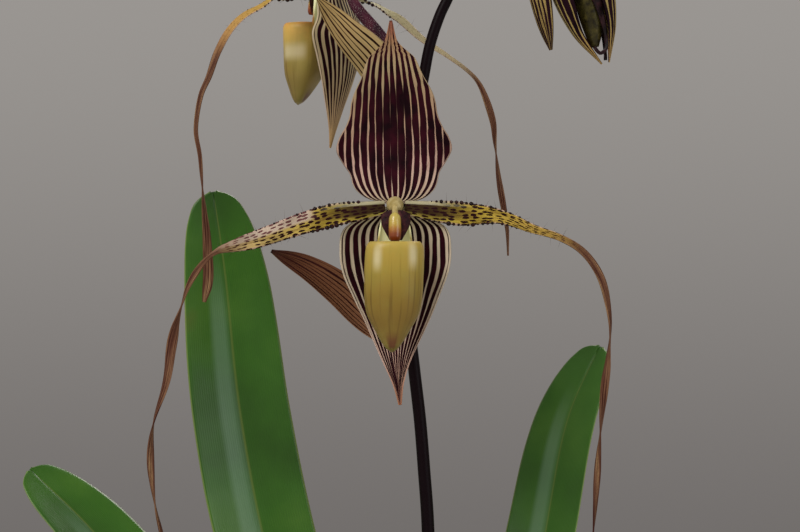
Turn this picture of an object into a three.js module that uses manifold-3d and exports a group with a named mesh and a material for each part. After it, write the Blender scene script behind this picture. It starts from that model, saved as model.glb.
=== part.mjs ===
// A potted slipper orchid: two open flowers and an opening bud on one dark stem above a tuft of strap
// leaves, rooted in bark in a plain pot. Millimetres, +Z up, origin at the centre of the pot's underside.
// The flowers are seen from the -Y side.

import * as THREE from 'three';
import { mergeVertices } from 'three/addons/utils/BufferGeometryUtils.js';
import Module from 'manifold-3d';

const wasm = await Module();
wasm.setup();

// Pot
const POT_HEIGHT = 130;
const POT_TOP_RADIUS = 71;
const POT_BASE_RADIUS = 50;
const POT_WALL = 2.2;
const POT_FLOOR = 3.5;
const POT_LIP_HEIGHT = 18;
const POT_LIP_STEP = 4;
const POT_SIDES = 36;
const DRAIN_HOLES = 6;
const DRAIN_HOLE_RADIUS = 5;
const DRAIN_HOLE_CIRCLE = 33;

// Bark and the crown that is rooted in it
const CLEARANCE = 0.3;
const BARK_TOP = 116;
const BARK_PIT_RADIUS = 20.5;
const BARK_PIT_FLOOR = 92;
const CHIP_COUNT = 40;
const CHIP_SIZE = [15, 10, 6];
const CHIP_RISE = 12;
const GOLDEN_ANGLE = Math.PI * (3 - Math.sqrt(5));
const CROWN_RADIUS = 14;
const CROWN_TOP = 110;
const ROOTS = 6;
const ROOT_RADIUS = 2.4;

// Leaves
const LEAF_THICKNESS = 1.4;
const LEAF_FOOT = CROWN_TOP + CLEARANCE;
const LEAF_UPRIGHT = 9;
const LEAF_RINGS = [5.2, 9.2, 13, 16];
const LEAF_FOOT_WRAP = 0.84;

// Stem
const STEM_FOOT_RADIUS = 2.8;
const STEM_TOP_RADIUS = 1.9;

// Flowers
const SEPAL_THICKNESS = 0.7;
const PETAL_THICKNESS = 0.7;
const BRACT_THICKNESS = 0.7;
const SHIELD_THICKNESS = 1.1;
const TIP = 0.5;
const PETAL_WAVES = 11;
const POUCH_WALL = 0.9;
const POUCH_SIDES = 18;
const POUCH_TIP = -52.6;
const POUCH_TIP_SHIFT = -1.1;
const POUCH_EAR_TOP = -4;
const POUCH_SQUARENESS = 0.8;
const FIRST_POUCH = { rim: -13.3, depth: 1 };
const SECOND_POUCH = { rim: -16.8, depth: 0.87 };
const COLUMN_RADIUS = 3.1;
const COLUMN_NECK_RADIUS = 1.15;
const COLUMN_BACK = 3;
const SEPAL_SEAT = COLUMN_BACK + CLEARANCE + SEPAL_THICKNESS / 2;
const OVARY_RADIUS = 2.3;
const OVARY_RIBS = 6;
const OVARY_SEAT = SEPAL_SEAT + SEPAL_THICKNESS / 2 + CLEARANCE;
const FIRST_FLOWER = { at: [-12.8, -25, 430], turn: 0, size: 1 };
const SECOND_FLOWER = { at: [-36.3, 18, 514.4], turn: -116, size: 0.86 };
const BUD_BASE = [51.2, 0, 536.8];
const BUD_TIP = [65.2, 0, 483.1];

const vector = (p) => new THREE.Vector3(...p);

// A smooth function of one variable through [x, y] pairs
function through(pairs) {
  const slope = pairs.map((pair, i) => {
    const before = pairs[Math.max(0, i - 1)];
    const after = pairs[Math.min(pairs.length - 1, i + 1)];
    return (after[1] - before[1]) / (after[0] - before[0]);
  });
  return (x) => {
    let k = 0;
    while (k < pairs.length - 2 && x > pairs[k + 1][0]) k += 1;
    const [x0, y0] = pairs[k];
    const [x1, y1] = pairs[k + 1];
    const span = x1 - x0;
    const t = THREE.MathUtils.clamp((x - x0) / span, 0, 1);
    const h = t * t * (3 - 2 * t);
    const leave = t * (1 - t) * (1 - t) * span * slope[k];
    const arrive = t * t * (1 - t) * span * slope[k + 1];
    return y0 + (y1 - y0) * h + leave - arrive;
  };
}

// A repeatable draw of numbers between 0 and 1
function seeded(seed) {
  let state = seed;
  return () => {
    state = (state * 16807) % 2147483647;
    return state / 2147483647;
  };
}

function meshGeometry(position, index) {
  const geometry = new THREE.BufferGeometry();
  geometry.setAttribute('position', new THREE.Float32BufferAttribute(position, 3));
  geometry.setIndex(index);
  return geometry;
}

function toSolid(geometry) {
  const bare = geometry.clone();
  bare.deleteAttribute('normal');
  bare.deleteAttribute('uv');
  const merged = mergeVertices(bare, 1e-4);
  return new wasm.Manifold(new wasm.Mesh({
    numProp: 3,
    vertProperties: new Float32Array(merged.attributes.position.array),
    triVerts: new Uint32Array(merged.index.array),
  }));
}

function fromSolid(solid) {
  const mesh = solid.getMesh();
  return meshGeometry(Array.from(mesh.vertProperties), Array.from(mesh.triVerts));
}

// The largest body of a solid, without loose scraps and with sealed hollows filled
function mainBody(solid) {
  return solid.decompose().reduce((best, body) => (body.volume() > best.volume() ? body : best));
}

// A thin sheet of even thickness: shape(u, v) is its middle surface, u across from -1 to 1 and v along from
// 0 to 1, in steps that crowd towards the end as crowding grows past 1. Both faces are split into
// triangles alike.
function sheet(shape, across, along, thickness, crowding = 1) {
  const position = [];
  const index = [];
  const step = 1e-3;
  const columns = across + 1;
  const face = columns * (along + 1);
  for (const side of [0.5, -0.5]) {
    for (let j = 0; j <= along; j += 1) {
      for (let i = 0; i <= across; i += 1) {
        const u = -1 + (2 * i) / across;
        const v = 1 - (1 - j / along) ** crowding;
        const acrossStep = shape(Math.min(1, u + step), v).sub(shape(Math.max(-1, u - step), v));
        const alongStep = shape(u, Math.min(1, v + step)).sub(shape(u, Math.max(0, v - step)));
        const normal = acrossStep.cross(alongStep).normalize();
        position.push(...shape(u, v).addScaledVector(normal, side * thickness).toArray());
      }
    }
  }
  for (let j = 0; j < along; j += 1) {
    for (let i = 0; i < across; i += 1) {
      const a = j * columns + i;
      const b = a + 1;
      const c = b + columns;
      const d = a + columns;
      index.push(a, b, c, a, c, d);
      index.push(face + a, face + c, face + b, face + a, face + d, face + c);
    }
  }
  const wall = (a, b) => index.push(a, face + a, face + b, a, face + b, b);
  for (let i = 0; i < across; i += 1) {
    wall(i, i + 1);
    wall(face - 1 - i, face - 2 - i);
  }
  for (let j = 0; j < along; j += 1) {
    wall(j * columns + across, (j + 1) * columns + across);
    wall((along - j) * columns, (along - j - 1) * columns);
  }
  return meshGeometry(position, index);
}

// The middle surface of a blade: a path with the ways its face looks from start to end, a half width and
// a relief, and a twist in degrees about the path
function bladeShape({ path, facing, width, relief = () => 0, twist = () => 0 }) {
  const curve = new THREE.CatmullRomCurve3(path.map(vector), false, 'centripetal');
  const looks = facing.map(vector);
  return (u, v) => {
    const at = curve.getPointAt(v);
    const forward = curve.getTangentAt(v);
    const part = v * (looks.length - 1);
    const first = Math.min(Math.floor(part), looks.length - 2);
    const look = looks[first].clone().lerp(looks[first + 1], part - first);
    const side = forward.clone().cross(look).normalize();
    const up = side.clone().cross(forward);
    const angle = THREE.MathUtils.degToRad(twist(v));
    side.applyAxisAngle(forward, angle);
    up.applyAxisAngle(forward, angle);
    return at.addScaledVector(side, width(v) * u).addScaledVector(up, relief(u, v));
  };
}

// A round rod along a path, closed at both ends; ribs raise its surface in even ridges
function rod(path, radius, sides, along, ribs = 0, ribHeight = 0) {
  const curve = new THREE.CatmullRomCurve3(path.map(vector), false, 'centripetal');
  const frames = curve.computeFrenetFrames(along, false);
  const position = [];
  const index = [];
  for (let j = 0; j <= along; j += 1) {
    const at = curve.getPointAt(j / along);
    for (let i = 0; i < sides; i += 1) {
      const angle = (2 * Math.PI * i) / sides;
      const r = radius(j / along) + ribHeight * Math.cos(ribs * angle);
      const point = at.clone();
      point.addScaledVector(frames.normals[j], r * Math.cos(angle));
      point.addScaledVector(frames.binormals[j], r * Math.sin(angle));
      position.push(...point.toArray());
    }
  }
  for (let j = 0; j < along; j += 1) {
    for (let i = 0; i < sides; i += 1) {
      const a = j * sides + i;
      const b = j * sides + ((i + 1) % sides);
      index.push(a, b, b + sides, a, b + sides, a + sides);
    }
  }
  const foot = position.length / 3;
  position.push(...curve.getPointAt(0).toArray(), ...curve.getPointAt(1).toArray());
  for (let i = 0; i < sides; i += 1) {
    const next = (i + 1) % sides;
    index.push(foot, next, i);
    index.push(foot + 1, along * sides + i, along * sides + next);
  }
  return meshGeometry(position, index);
}

// A closed skin through rings of equal counts, from a first pole to a last one
function ringSkin(rings, firstPole, lastPole) {
  const sides = rings[0].length;
  const position = rings.flat().flatMap((point) => point.toArray());
  const index = [];
  const first = position.length / 3;
  position.push(...firstPole.toArray(), ...lastPole.toArray());
  for (let i = 0; i < sides; i += 1) {
    const next = (i + 1) % sides;
    index.push(first, next, i);
    for (let j = 0; j < rings.length - 1; j += 1) {
      const a = j * sides + i;
      const b = j * sides + next;
      index.push(a, b, b + sides, a, b + sides, a + sides);
    }
    const last = (rings.length - 1) * sides;
    index.push(first + 1, last + i, last + next);
  }
  return meshGeometry(position, index);
}

// Pot with its lip and drainage holes
const potSlope = (POT_TOP_RADIUS - POT_LIP_STEP - POT_BASE_RADIUS) / (POT_HEIGHT - POT_LIP_HEIGHT);
const potInside = (z) => POT_BASE_RADIUS + potSlope * z - POT_WALL;

function lathe(profile) {
  const points = profile.map(([r, z]) => new THREE.Vector2(r, z));
  return toSolid(new THREE.LatheGeometry(points, POT_SIDES).rotateX(Math.PI / 2));
}

function pot() {
  const lipFoot = POT_HEIGHT - POT_LIP_HEIGHT;
  const corner = 3;
  let solid = lathe([
    [0, 0],
    [POT_BASE_RADIUS - 2, 0],
    [POT_BASE_RADIUS, 2],
    [POT_TOP_RADIUS - POT_LIP_STEP, lipFoot],
    [POT_TOP_RADIUS - 1, lipFoot + 1],
    [POT_TOP_RADIUS, POT_HEIGHT - 2],
    [POT_TOP_RADIUS - 1, POT_HEIGHT],
    [potInside(POT_HEIGHT) + 0.6, POT_HEIGHT],
    [potInside(POT_HEIGHT), POT_HEIGHT - 1],
    [potInside(POT_FLOOR + corner), POT_FLOOR + corner],
    [potInside(POT_FLOOR + corner) - corner, POT_FLOOR],
    [0, POT_FLOOR],
  ]);
  for (let k = 0; k < DRAIN_HOLES; k += 1) {
    const angle = (2 * Math.PI * k) / DRAIN_HOLES;
    const hole = new THREE.CylinderGeometry(DRAIN_HOLE_RADIUS, DRAIN_HOLE_RADIUS, 3 * POT_FLOOR, 12);
    hole.rotateX(Math.PI / 2);
    hole.translate(DRAIN_HOLE_CIRCLE * Math.cos(angle), DRAIN_HOLE_CIRCLE * Math.sin(angle), POT_FLOOR / 2);
    solid = solid.subtract(toSolid(hole));
  }
  return fromSolid(solid);
}

// Crown of the plant with its thick roots; grown by a margin it cuts its own place in the bark
function crown(margin) {
  const height = CROWN_TOP - BARK_PIT_FLOOR - 2 * CLEARANCE;
  const body = new THREE.CylinderGeometry(CROWN_RADIUS + margin, CROWN_RADIUS - 5 + margin, height, 14);
  body.rotateX(Math.PI / 2).translate(0, 0, CROWN_TOP - height / 2);
  let solid = toSolid(body);
  for (let k = 0; k < ROOTS; k += 1) {
    const angle = (2 * Math.PI * (k + 0.35)) / ROOTS;
    const reach = 30 + 9 * (k % 2);
    const depth = 62 - 12 * (k % 3);
    const out = (r, z, bend) => [r * Math.cos(angle + bend), r * Math.sin(angle + bend), z];
    const path = [
      out(6, BARK_PIT_FLOOR + 6, 0),
      out(18, BARK_PIT_FLOOR - 3, 0.1),
      out(reach, (BARK_PIT_FLOOR + depth) / 2, 0.4),
      out(reach + 4, depth - 12, 0.7 + margin / 100),
      out(reach - 4, depth - 30 - margin, 1 + margin / 100),
    ];
    solid = solid.add(toSolid(rod(path, (v) => ROOT_RADIUS * (1 - 0.4 * v) + margin, 6, 6)));
  }
  return solid;
}

// Bark packed in the pot, with chips standing out of its top and one plain hole for the plant's foot
function barkUpTo(top) {
  const floor = POT_FLOOR + CLEARANCE;
  const corner = 3.5;
  return lathe([
    [0, floor],
    [potInside(floor) - corner - CLEARANCE, floor],
    [potInside(floor + corner) - 2 * CLEARANCE, floor + corner],
    [potInside(top) - 2 * CLEARANCE, top],
    [0, top],
  ]);
}

function pottingBark() {
  const draw = seeded(41);
  const nearest = BARK_PIT_RADIUS + 5;
  const furthest = potInside(BARK_TOP) - 4;
  let chips = barkUpTo(BARK_TOP);
  for (let k = 0; k < CHIP_COUNT; k += 1) {
    const angle = k * GOLDEN_ANGLE + 0.5 * draw();
    const radius = THREE.MathUtils.lerp(nearest, furthest, Math.sqrt((k + 0.5) / CHIP_COUNT));
    const chip = new THREE.BoxGeometry(...CHIP_SIZE.map((side) => side * (0.7 + 0.6 * draw())));
    chip.rotateX(0.9 * (draw() - 0.5)).rotateY(0.9 * (draw() - 0.5)).rotateZ(Math.PI * draw());
    chip.translate(radius * Math.cos(angle), radius * Math.sin(angle), BARK_TOP + 1.5 * draw());
    chips = chips.add(toSolid(chip));
  }
  chips = mainBody(chips.intersect(barkUpTo(BARK_TOP + CHIP_RISE)));
  const depth = BARK_TOP + CHIP_RISE - BARK_PIT_FLOOR;
  const pit = new THREE.CylinderGeometry(BARK_PIT_RADIUS, BARK_PIT_RADIUS, depth, 20);
  pit.rotateX(Math.PI / 2).translate(0, 0, BARK_PIT_FLOOR + depth / 2);
  return fromSolid(mainBody(chips.subtract(toSolid(pit)).subtract(crown(CLEARANCE))));
}

// One strap leaf from its ring at the crown along its own path. Its foot is a gutter that looks at the
// middle of the plant, and its blade opens into a shallow channel and looks along face.
function leaf({ ring, azimuth, path, face, width }) {
  const angle = THREE.MathUtils.degToRad(azimuth);
  const foot = LEAF_RINGS[ring];
  const out = [Math.cos(angle), Math.sin(angle)];
  const start = (z) => [foot * out[0], foot * out[1], z];
  const inward = [-out[0], -out[1], 0.02];
  const between = inward.map((c, i) => 0.5 * (c + face[i]));
  const footWidth = LEAF_FOOT_WRAP * foot;
  const footDepth = 0.66 * footWidth;
  const channel = through([
    [0, footDepth], [0.06, footDepth], [0.35, 0.36 * width], [0.8, 0.2 * width], [1, 0.4],
  ]);
  const shape = bladeShape({
    path: [start(LEAF_FOOT), start(LEAF_FOOT + LEAF_UPRIGHT), ...path],
    facing: [inward, between, face, face],
    width: through([
      [0, footWidth], [0.06, footWidth], [0.3, width], [0.62, 1.03 * width], [0.8, 0.98 * width],
      [0.88, 0.9 * width], [0.93, 0.79 * width], [0.957, 0.69 * width], [0.972, 0.6 * width],
      [0.988, 0.45 * width], [0.996, 0.27 * width], [1, 0.08 * width],
    ]),
    relief: (u, v) => channel(v) * Math.abs(u) ** 1.7,
  });
  return sheet(shape, 4, 13, LEAF_THICKNESS, 1.9);
}

// The leaves, inner ring first; path runs from above the crown to the tip
const LEAVES = [
  {
    ring: 0, azimuth: 135, width: 19, face: [0.15, -1, 0.35],
    path: [
      [-17, 22, 165], [-41, 38, 230], [-61, 45, 290], [-73, 46, 350], [-79, 46, 405], [-83.5, 46, 436.8],
    ],
  },
  {
    ring: 0, azimuth: 0, width: 16, face: [-0.75, -0.95, 0.4],
    path: [[18, 8, 170], [33, 20, 240], [45, 32, 306], [54, 35, 350], [66, 36, 377]],
  },
  {
    ring: 1, azimuth: 198, width: 18, face: [0.5, -0.75, 0.8],
    path: [[-33, -6, 165], [-68, -2, 220], [-101, 8, 275], [-126, 16, 307], [-151, 20, 331]],
  },
  {
    ring: 1, azimuth: 356, width: 19, face: [-0.1, 0.05, 1],
    path: [[40, -6, 165], [88, -12, 213], [140, -16, 228], [182, -18, 206]],
  },
  {
    ring: 2, azimuth: 222, width: 18, face: [0.1, 0.1, 1],
    path: [[-38, -32, 160], [-74, -60, 203], [-110, -88, 214], [-140, -108, 192]],
  },
  {
    ring: 2, azimuth: 76, width: 19, face: [0, -0.25, 1],
    path: [[12, 42, 175], [22, 82, 236], [31, 124, 266], [38, 160, 256]],
  },
  {
    ring: 3, azimuth: 305, width: 17, face: [-0.05, 0.1, 1],
    path: [[32, -46, 158], [58, -82, 190], [84, -116, 192], [104, -142, 166]],
  },
  {
    ring: 3, azimuth: 128, width: 18, face: [0.05, -0.1, 1],
    path: [[-38, 46, 160], [-74, 78, 202], [-110, 108, 214], [-138, 132, 194]],
  },
];

// Flower stem from the crown up past the flowers, then arching over to the right
const STEM_PATH = [
  [0, 0, CROWN_TOP + CLEARANCE], [0, 0, 150], [-0.2, 0, 230], [-0.6, 0, 309.6], [-2.1, 0, 332.5],
  [-3.6, 0, 351], [-5.6, 0, 368.4], [-7.7, 0, 388], [-8.4, 0, 410.2], [-7.7, 0, 432.4], [-5.8, 0, 458.3],
  [-2.1, 0, 478.7], [0.1, 0, 489.8], [3.8, 0, 500.9], [6.4, 0, 506.4], [10.5, 0, 515.7], [16.8, 0, 526.8],
  [24.9, 0, 536.8], [33.4, 0, 543.4],
];

function flowerStem() {
  return rod(STEM_PATH, (v) => THREE.MathUtils.lerp(STEM_FOOT_RADIUS, STEM_TOP_RADIUS, v), 10, 34);
}

// Ovary: a ribbed tube from the stem to the back of its flower, fullest in the middle
function ovary(path) {
  const radius = (v) => OVARY_RADIUS * (0.72 + 0.28 * Math.sin(Math.PI * Math.min(1, 1.1 * v)));
  return rod(path, radius, 12, 10, OVARY_RIBS, 0.12);
}

// Bract: a boat-shaped pointed sheet that clasps the foot of an ovary
function bract({ path, face, tipFace = face, width, depth }) {
  const hollow = through([[0, depth], [0.5, 0.8 * depth], [1, 0.3]]);
  const shape = bladeShape({
    path,
    facing: [face, tipFace],
    width: through([
      [0, 0.55 * width], [0.25, width], [0.5, 0.94 * width], [0.78, 0.62 * width], [0.9, 0.38 * width],
      [1, TIP],
    ]),
    relief: (u, v) => hollow(v) * u * u,
  });
  return sheet(shape, 6, 11, BRACT_THICKNESS);
}

// Flower pieces in the flower's own frame: its middle at the origin, its face to -Y, its upper sepal to +Z
const FACE_FRONT = [[0, -1, 0], [0, -1, 0]];

// Upper sepal: egg-shaped with turned-back corners low down and a narrow tip
function dorsalSepal() {
  const hood = through([[0, 0], [0.2, 3], [0.5, 5.4], [0.85, 1.6], [1, 0]]);
  const turnedBack = through([[0, 0], [0.12, 6], [0.25, 19.5], [0.4, 10], [0.6, 3], [1, 0]]);
  const shape = bladeShape({
    path: [
      [0, SEPAL_SEAT, 0.5], [0, SEPAL_SEAT + 0.4, 6], [-0.3, SEPAL_SEAT + 3, 20],
      [-0.6, SEPAL_SEAT + 3.6, 36], [-1.4, SEPAL_SEAT + 1, 54], [-1.5, SEPAL_SEAT - 1.5, 66.6],
    ],
    facing: FACE_FRONT,
    width: through([
      [0, 3.2], [0.025, 9.6], [0.065, 13.5], [0.105, 15.2], [0.175, 16.4], [0.24, 19], [0.3, 21],
      [0.36, 20], [0.42, 17.6], [0.48, 16], [0.56, 15.2], [0.62, 13.9], [0.7, 11.2], [0.8, 8.4],
      [0.845, 5.2], [0.885, 2.6], [0.93, 1.5], [1, TIP],
    ]),
    relief: (u, v) => hood(v) * u * u - turnedBack(v) * Math.max(0, Math.abs(u) - 0.55) ** 1.5,
  });
  return sheet(shape, 8, 16, SEPAL_THICKNESS);
}

// Lower sepal, two grown into one: a broad hollow shield that ends in a point behind the pouch
function synsepal(breadth) {
  const hollow = through([[0, 0], [0.1, 2.4], [0.35, 6.5], [0.7, 4], [1, 0.2]]);
  const shape = bladeShape({
    path: [
      [0, SEPAL_SEAT, -0.5], [0, SEPAL_SEAT + 0.6, -6], [0.2, SEPAL_SEAT + 5, -20],
      [0.6, SEPAL_SEAT + 4.5, -38], [0.6, SEPAL_SEAT, -56], [1.8, SEPAL_SEAT - 4, -72],
    ],
    facing: FACE_FRONT,
    width: through([
      [0, 3.2], [0.05, 12], [0.1, 18.6], [0.2, 20.2], [0.33, 19.2 * breadth], [0.47, 15.4 * breadth],
      [0.64, 10.2 * breadth], [0.8, 4.8 * breadth], [0.9, 2 * breadth], [1, TIP],
    ]),
    relief: (u, v) => hollow(v) * u * u,
  });
  return sheet(shape, 8, 13, SEPAL_THICKNESS);
}

// Petal: a waved strap near the flower, then a long hanging ribbon that twists about itself
function petal({ path, facing, width, wave, waveEnd, twist }) {
  const height = through([[0, 0], [0.08, wave], [waveEnd - 0.12, wave], [waveEnd, 0], [1, 0]]);
  const ripple = (u, v) => Math.sin(2 * Math.PI * PETAL_WAVES * v + 1.3 * Math.sign(u));
  const shape = bladeShape({
    path,
    facing,
    width: through(width),
    twist: through(twist),
    relief: (u, v) => height(v) * u * Math.abs(u) * ripple(u, v),
  });
  return sheet(shape, 4, 37, PETAL_THICKNESS);
}

// Pouch: a hollow slipper, open above, with a squarish section. Its back wall rises in a broad ear to the
// underside of the column.
const pouchHalfWidth = through([
  [0, 0.8], [0.06, 2.9], [0.17, 5.6], [0.376, 9.6], [0.7, 10.5], [0.93, 10.3], [1, 9.5],
]);
const pouchHalfDepth = through([
  [0, 0.8], [0.06, 2.8], [0.17, 5.2], [0.376, 8.4], [0.7, 9.8], [0.93, 10.3], [1, 9.9],
]);
const pouchMiddle = through([[0, -18], [0.3, -16.2], [0.7, -15.2], [1, -15]]);

function pouchRing({ rim, depth }, h, inset, lift) {
  const points = [];
  const squared = (c) => Math.sign(c) * Math.abs(c) ** POUCH_SQUARENESS;
  const halfDepth = pouchHalfDepth(h) * depth;
  const middle = pouchMiddle(h) + pouchHalfDepth(h) - halfDepth;
  for (let i = 0; i < POUCH_SIDES; i += 1) {
    const angle = (2 * Math.PI * i) / POUCH_SIDES;
    const back = THREE.MathUtils.smoothstep(-Math.cos(angle), 0.8, 0.9);
    const x = POUCH_TIP_SHIFT * (1 - h) + (pouchHalfWidth(h) - inset) * squared(Math.sin(angle));
    const y = middle - (halfDepth - inset) * squared(Math.cos(angle));
    const z = THREE.MathUtils.lerp(POUCH_TIP + lift, rim, h) + (POUCH_EAR_TOP - rim) * back * h ** 5;
    points.push(new THREE.Vector3(x, y, z));
  }
  return points;
}

function pouch(form) {
  const outer = [0.05, 0.15, 0.27, 0.4, 0.56, 0.74, 0.9, 1].map((h) => pouchRing(form, h, 0, 0));
  const rim = pouchRing(form, 1, POUCH_WALL, 0);
  const inner = [0.9, 0.74, 0.56, 0.4, 0.27, 0.15].map((h) => pouchRing(form, h, POUCH_WALL, POUCH_WALL));
  const tip = new THREE.Vector3(POUCH_TIP_SHIFT, pouchMiddle(0), POUCH_TIP);
  const floor = new THREE.Vector3(POUCH_TIP_SHIFT, pouchMiddle(0.1), POUCH_TIP + 4.3);
  return ringSkin([...outer, rim, ...inner], tip, floor);
}

// Column: a stout post, and on its front a shield with a finger that hangs in the mouth of the pouch
function column() {
  const post = rod(
    [[0, COLUMN_BACK, 0], [0, -3, 0], [0, -7.2, -1]],
    (v) => COLUMN_RADIUS * (1 - 0.32 * v * v), 10, 4,
  );
  const neck = rod([[0, -5.6, -0.4], [0, -7.4, -1.8], [0, -8.6, -4.4]], () => COLUMN_NECK_RADIUS, 6, 3);
  const finger = rod(
    [[0, -8.3, -3.2], [0, -9.2, -6], [0, -9.8, -9.5], [0, -10.3, -13.2]],
    through([[0, 1], [0.1, 1.8], [0.22, 2.15], [0.85, 2.15], [1, 1.5]]), 8, 7,
  );
  const shield = sheet(bladeShape({
    path: [[0.3, -7.6, -2.2], [0.3, -8.6, -7], [0.3, -9, -12.8]],
    facing: FACE_FRONT,
    width: through([[0, 2.8], [0.1, 4.8], [0.25, 5.3], [0.5, 5], [0.7, 4], [0.9, 2.8], [1, 2.2]]),
  }), 4, 6, SHIELD_THICKNESS);
  return fromSolid([neck, finger, shield].reduce((body, piece) => body.add(toSolid(piece)), toSolid(post)));
}

// First flower: its face to the front
const FIRST_LEFT_PETAL = {
  path: [
    [-3.5, 0.6, -1], [-21.6, -0.5, -3.6], [-33.5, -1.5, -6.8], [-46.8, -2.5, -11.5], [-56.9, -3.5, -14.6],
    [-63.5, -4, -16.6], [-68.4, -4.5, -20.5], [-73.8, -5, -28.8], [-76.3, -5.5, -36], [-79.2, -6, -46.8],
    [-82, -7, -64.8], [-86, -7, -77], [-87.3, -7, -88], [-86.8, -7, -99], [-85.3, -6.5, -109.8],
    [-83.5, -6, -118], [-80.5, -5, -134],
  ],
  facing: [[0, -1, 0.1], [0, -1, 0.1]],
  width: [
    [0, 2.6], [0.1, 4.1], [0.2, 3.6], [0.27, 3], [0.315, 1.8], [0.345, 0.9], [0.37, 1], [0.4, 1.35],
    [0.46, 1.3], [0.54, 1.9], [0.7, 1.5], [0.85, 1.2], [1, 0.6],
  ],
  wave: 1.1,
  waveEnd: 0.38,
  twist: [[0, 0], [0.36, 0], [0.46, 80], [0.54, 180], [0.68, 250], [0.76, 340], [0.86, 450], [1, 560]],
};
const FIRST_RIGHT_PETAL = {
  path: [
    [3.5, 0.6, -1], [23.4, -0.5, -3.2], [37.8, -1, -4.2], [48.6, -2, -8.3], [59.4, -3, -11.9],
    [66.6, -4, -16.2], [72, -4.5, -22.7], [75.2, -5, -30.6], [77, -6, -44.6], [76.1, -6.5, -55.8],
    [74.8, -7, -65.9], [73.3, -7, -82.4], [72.4, -7, -94.7], [71.6, -6.5, -107.3], [70.9, -6, -117.7],
    [70, -5, -134],
  ],
  facing: [[0, -1, 0.1], [0, -1, 0.1]],
  width: [
    [0, 2.6], [0.1, 4.3], [0.15, 3.5], [0.19, 2.5], [0.23, 2], [0.27, 1.5], [0.31, 1.3], [0.43, 1.4],
    [0.5, 1.2], [0.62, 1.5], [0.78, 1.3], [0.9, 1], [1, 0.6],
  ],
  wave: 1.1,
  waveEnd: 0.3,
  twist: [[0, 0], [0.4, 10], [0.52, -70], [0.63, -180], [0.72, -265], [0.8, -350], [0.9, -440], [1, -540]],
};

// A point of a flower's own frame in the part's frame
function inFlower({ at, turn, size }, point) {
  const angle = THREE.MathUtils.degToRad(turn);
  return vector(point).multiplyScalar(size).applyAxisAngle(new THREE.Vector3(0, 0, 1), angle)
    .add(vector(at)).toArray();
}

const inFirst = (point) => inFlower(FIRST_FLOWER, point);
const inSecond = (point) => inFlower(SECOND_FLOWER, point);

FIRST_LEFT_PETAL.path = FIRST_LEFT_PETAL.path.map(inFirst);
FIRST_RIGHT_PETAL.path = FIRST_RIGHT_PETAL.path.map(inFirst);

// Second flower: higher up, facing left and away
const SECOND_LEFT_PETAL = {
  path: [
    inSecond([4.1, 0.4, 0]), [-45.6, 9, 509.4], [-56.2, 2, 507.6], [-63, -3, 503.5], [-69.1, -6, 499.5],
    [-73.7, -8, 494.2], [-77.7, -9, 486.8], [-80.9, -10, 477.5], [-83.8, -10, 470.6], [-85.7, -10, 458.1],
    [-84.2, -10, 447.9], [-83.1, -10, 433.6], [-81.6, -10, 416.4], [-81.3, -10, 402.5], [-82.7, -10, 394.8],
  ],
  facing: [[-0.6, 0.4, 0.6], [-0.15, -0.9, 0.4], [0.3, -0.9, 0.1], [0.3, -0.9, 0]],
  width: [
    [0, 2.2], [0.12, 3], [0.2, 1.9], [0.38, 1.45], [0.5, 1], [0.62, 0.9], [0.75, 1.2], [0.9, 1.9],
    [0.96, 1.8], [1, 0.7],
  ],
  wave: 0.7,
  waveEnd: 0.26,
  twist: [[0, 0], [0.5, 10], [0.66, 60], [0.8, 160], [1, 200]],
};
const SECOND_RIGHT_PETAL = {
  path: [
    inSecond([-4.1, 0.6, 0]), inSecond([-16, -1.5, -1]), [-24.1, 36, 509.9], [-16.6, 40, 506.4],
    [-11, 42, 503.4], [-2.8, 44, 496.3], [6.8, 44, 489.8], [14.6, 46, 484.4], [19.3, 47, 479.6],
    [22.6, 47, 472.5], [25.2, 47, 463.5], [26, 47, 455], [27.5, 47, 441.4], [29, 47, 432.5],
    [30.6, 47, 422.4], [31, 47, 412],
  ],
  facing: [[-0.5, 0.2, 0.6], [0, -0.8, 0.5], [0.2, -0.9, 0.2], [-0.2, -0.9, 0]],
  width: [
    [0, 2.2], [0.12, 2.8], [0.25, 2], [0.38, 1.1], [0.5, 0.8], [0.6, 1.4], [0.75, 1.4], [0.9, 1.1],
    [1, 0.7],
  ],
  wave: 0.7,
  waveEnd: 0.26,
  twist: [[0, 0], [0.45, 10], [0.62, 40], [0.75, 120], [0.88, 200], [1, 250]],
};

// Opening bud: it nods from the arching tip of the stem, its two sepals parted like a beak
const budAxis = vector(BUD_TIP).sub(vector(BUD_BASE));
const budOut = new THREE.Vector3(-budAxis.z, 0, budAxis.x).normalize();

function budPoint(along, out, y) {
  const point = vector(BUD_BASE).addScaledVector(budAxis, along).addScaledVector(budOut, out);
  return [point.x, point.y + y, point.z];
}

function budSepal(side, bulge, tipOut) {
  const inward = budOut.clone().multiplyScalar(-side).toArray();
  const hollow = through([[0, 0.4], [0.2, 3.4], [0.5, 6.2], [0.8, 2.6], [1, 0.2]]);
  const shape = bladeShape({
    path: [
      budPoint(0.03, side * 1.2, 0), budPoint(0.14, side * bulge * 0.62, 0), budPoint(0.4, side * bulge, 0),
      budPoint(0.75, side * bulge * 0.72, 0), budPoint(1, tipOut, 0),
    ],
    facing: [inward, inward],
    width: through([[0, 2.4], [0.12, 7.5], [0.35, 10.5], [0.6, 8.8], [0.85, 3.6], [1, TIP]]),
    relief: (u, v) => hollow(v) * Math.abs(u) ** 2.4,
  });
  return sheet(shape, 8, 10, SEPAL_THICKNESS);
}

// A petal still in the bud: a narrow strap and its own crumpled tail, given as shares of the bud's length,
// distances out of its line and shares of the petal's depth in it
const BUD_STRAIGHT_TAIL = [[0.85, 1.6, 0.45], [0.93, 0.9, 0.32], [0.98, 0.2, 0.22]];
const BUD_HOOKED_TAIL = [[0.84, 2.1, 0.58], [0.915, 0.8, 0.56], [0.93, -1.4, 0.54], [0.88, -3, 0.54]];

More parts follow.
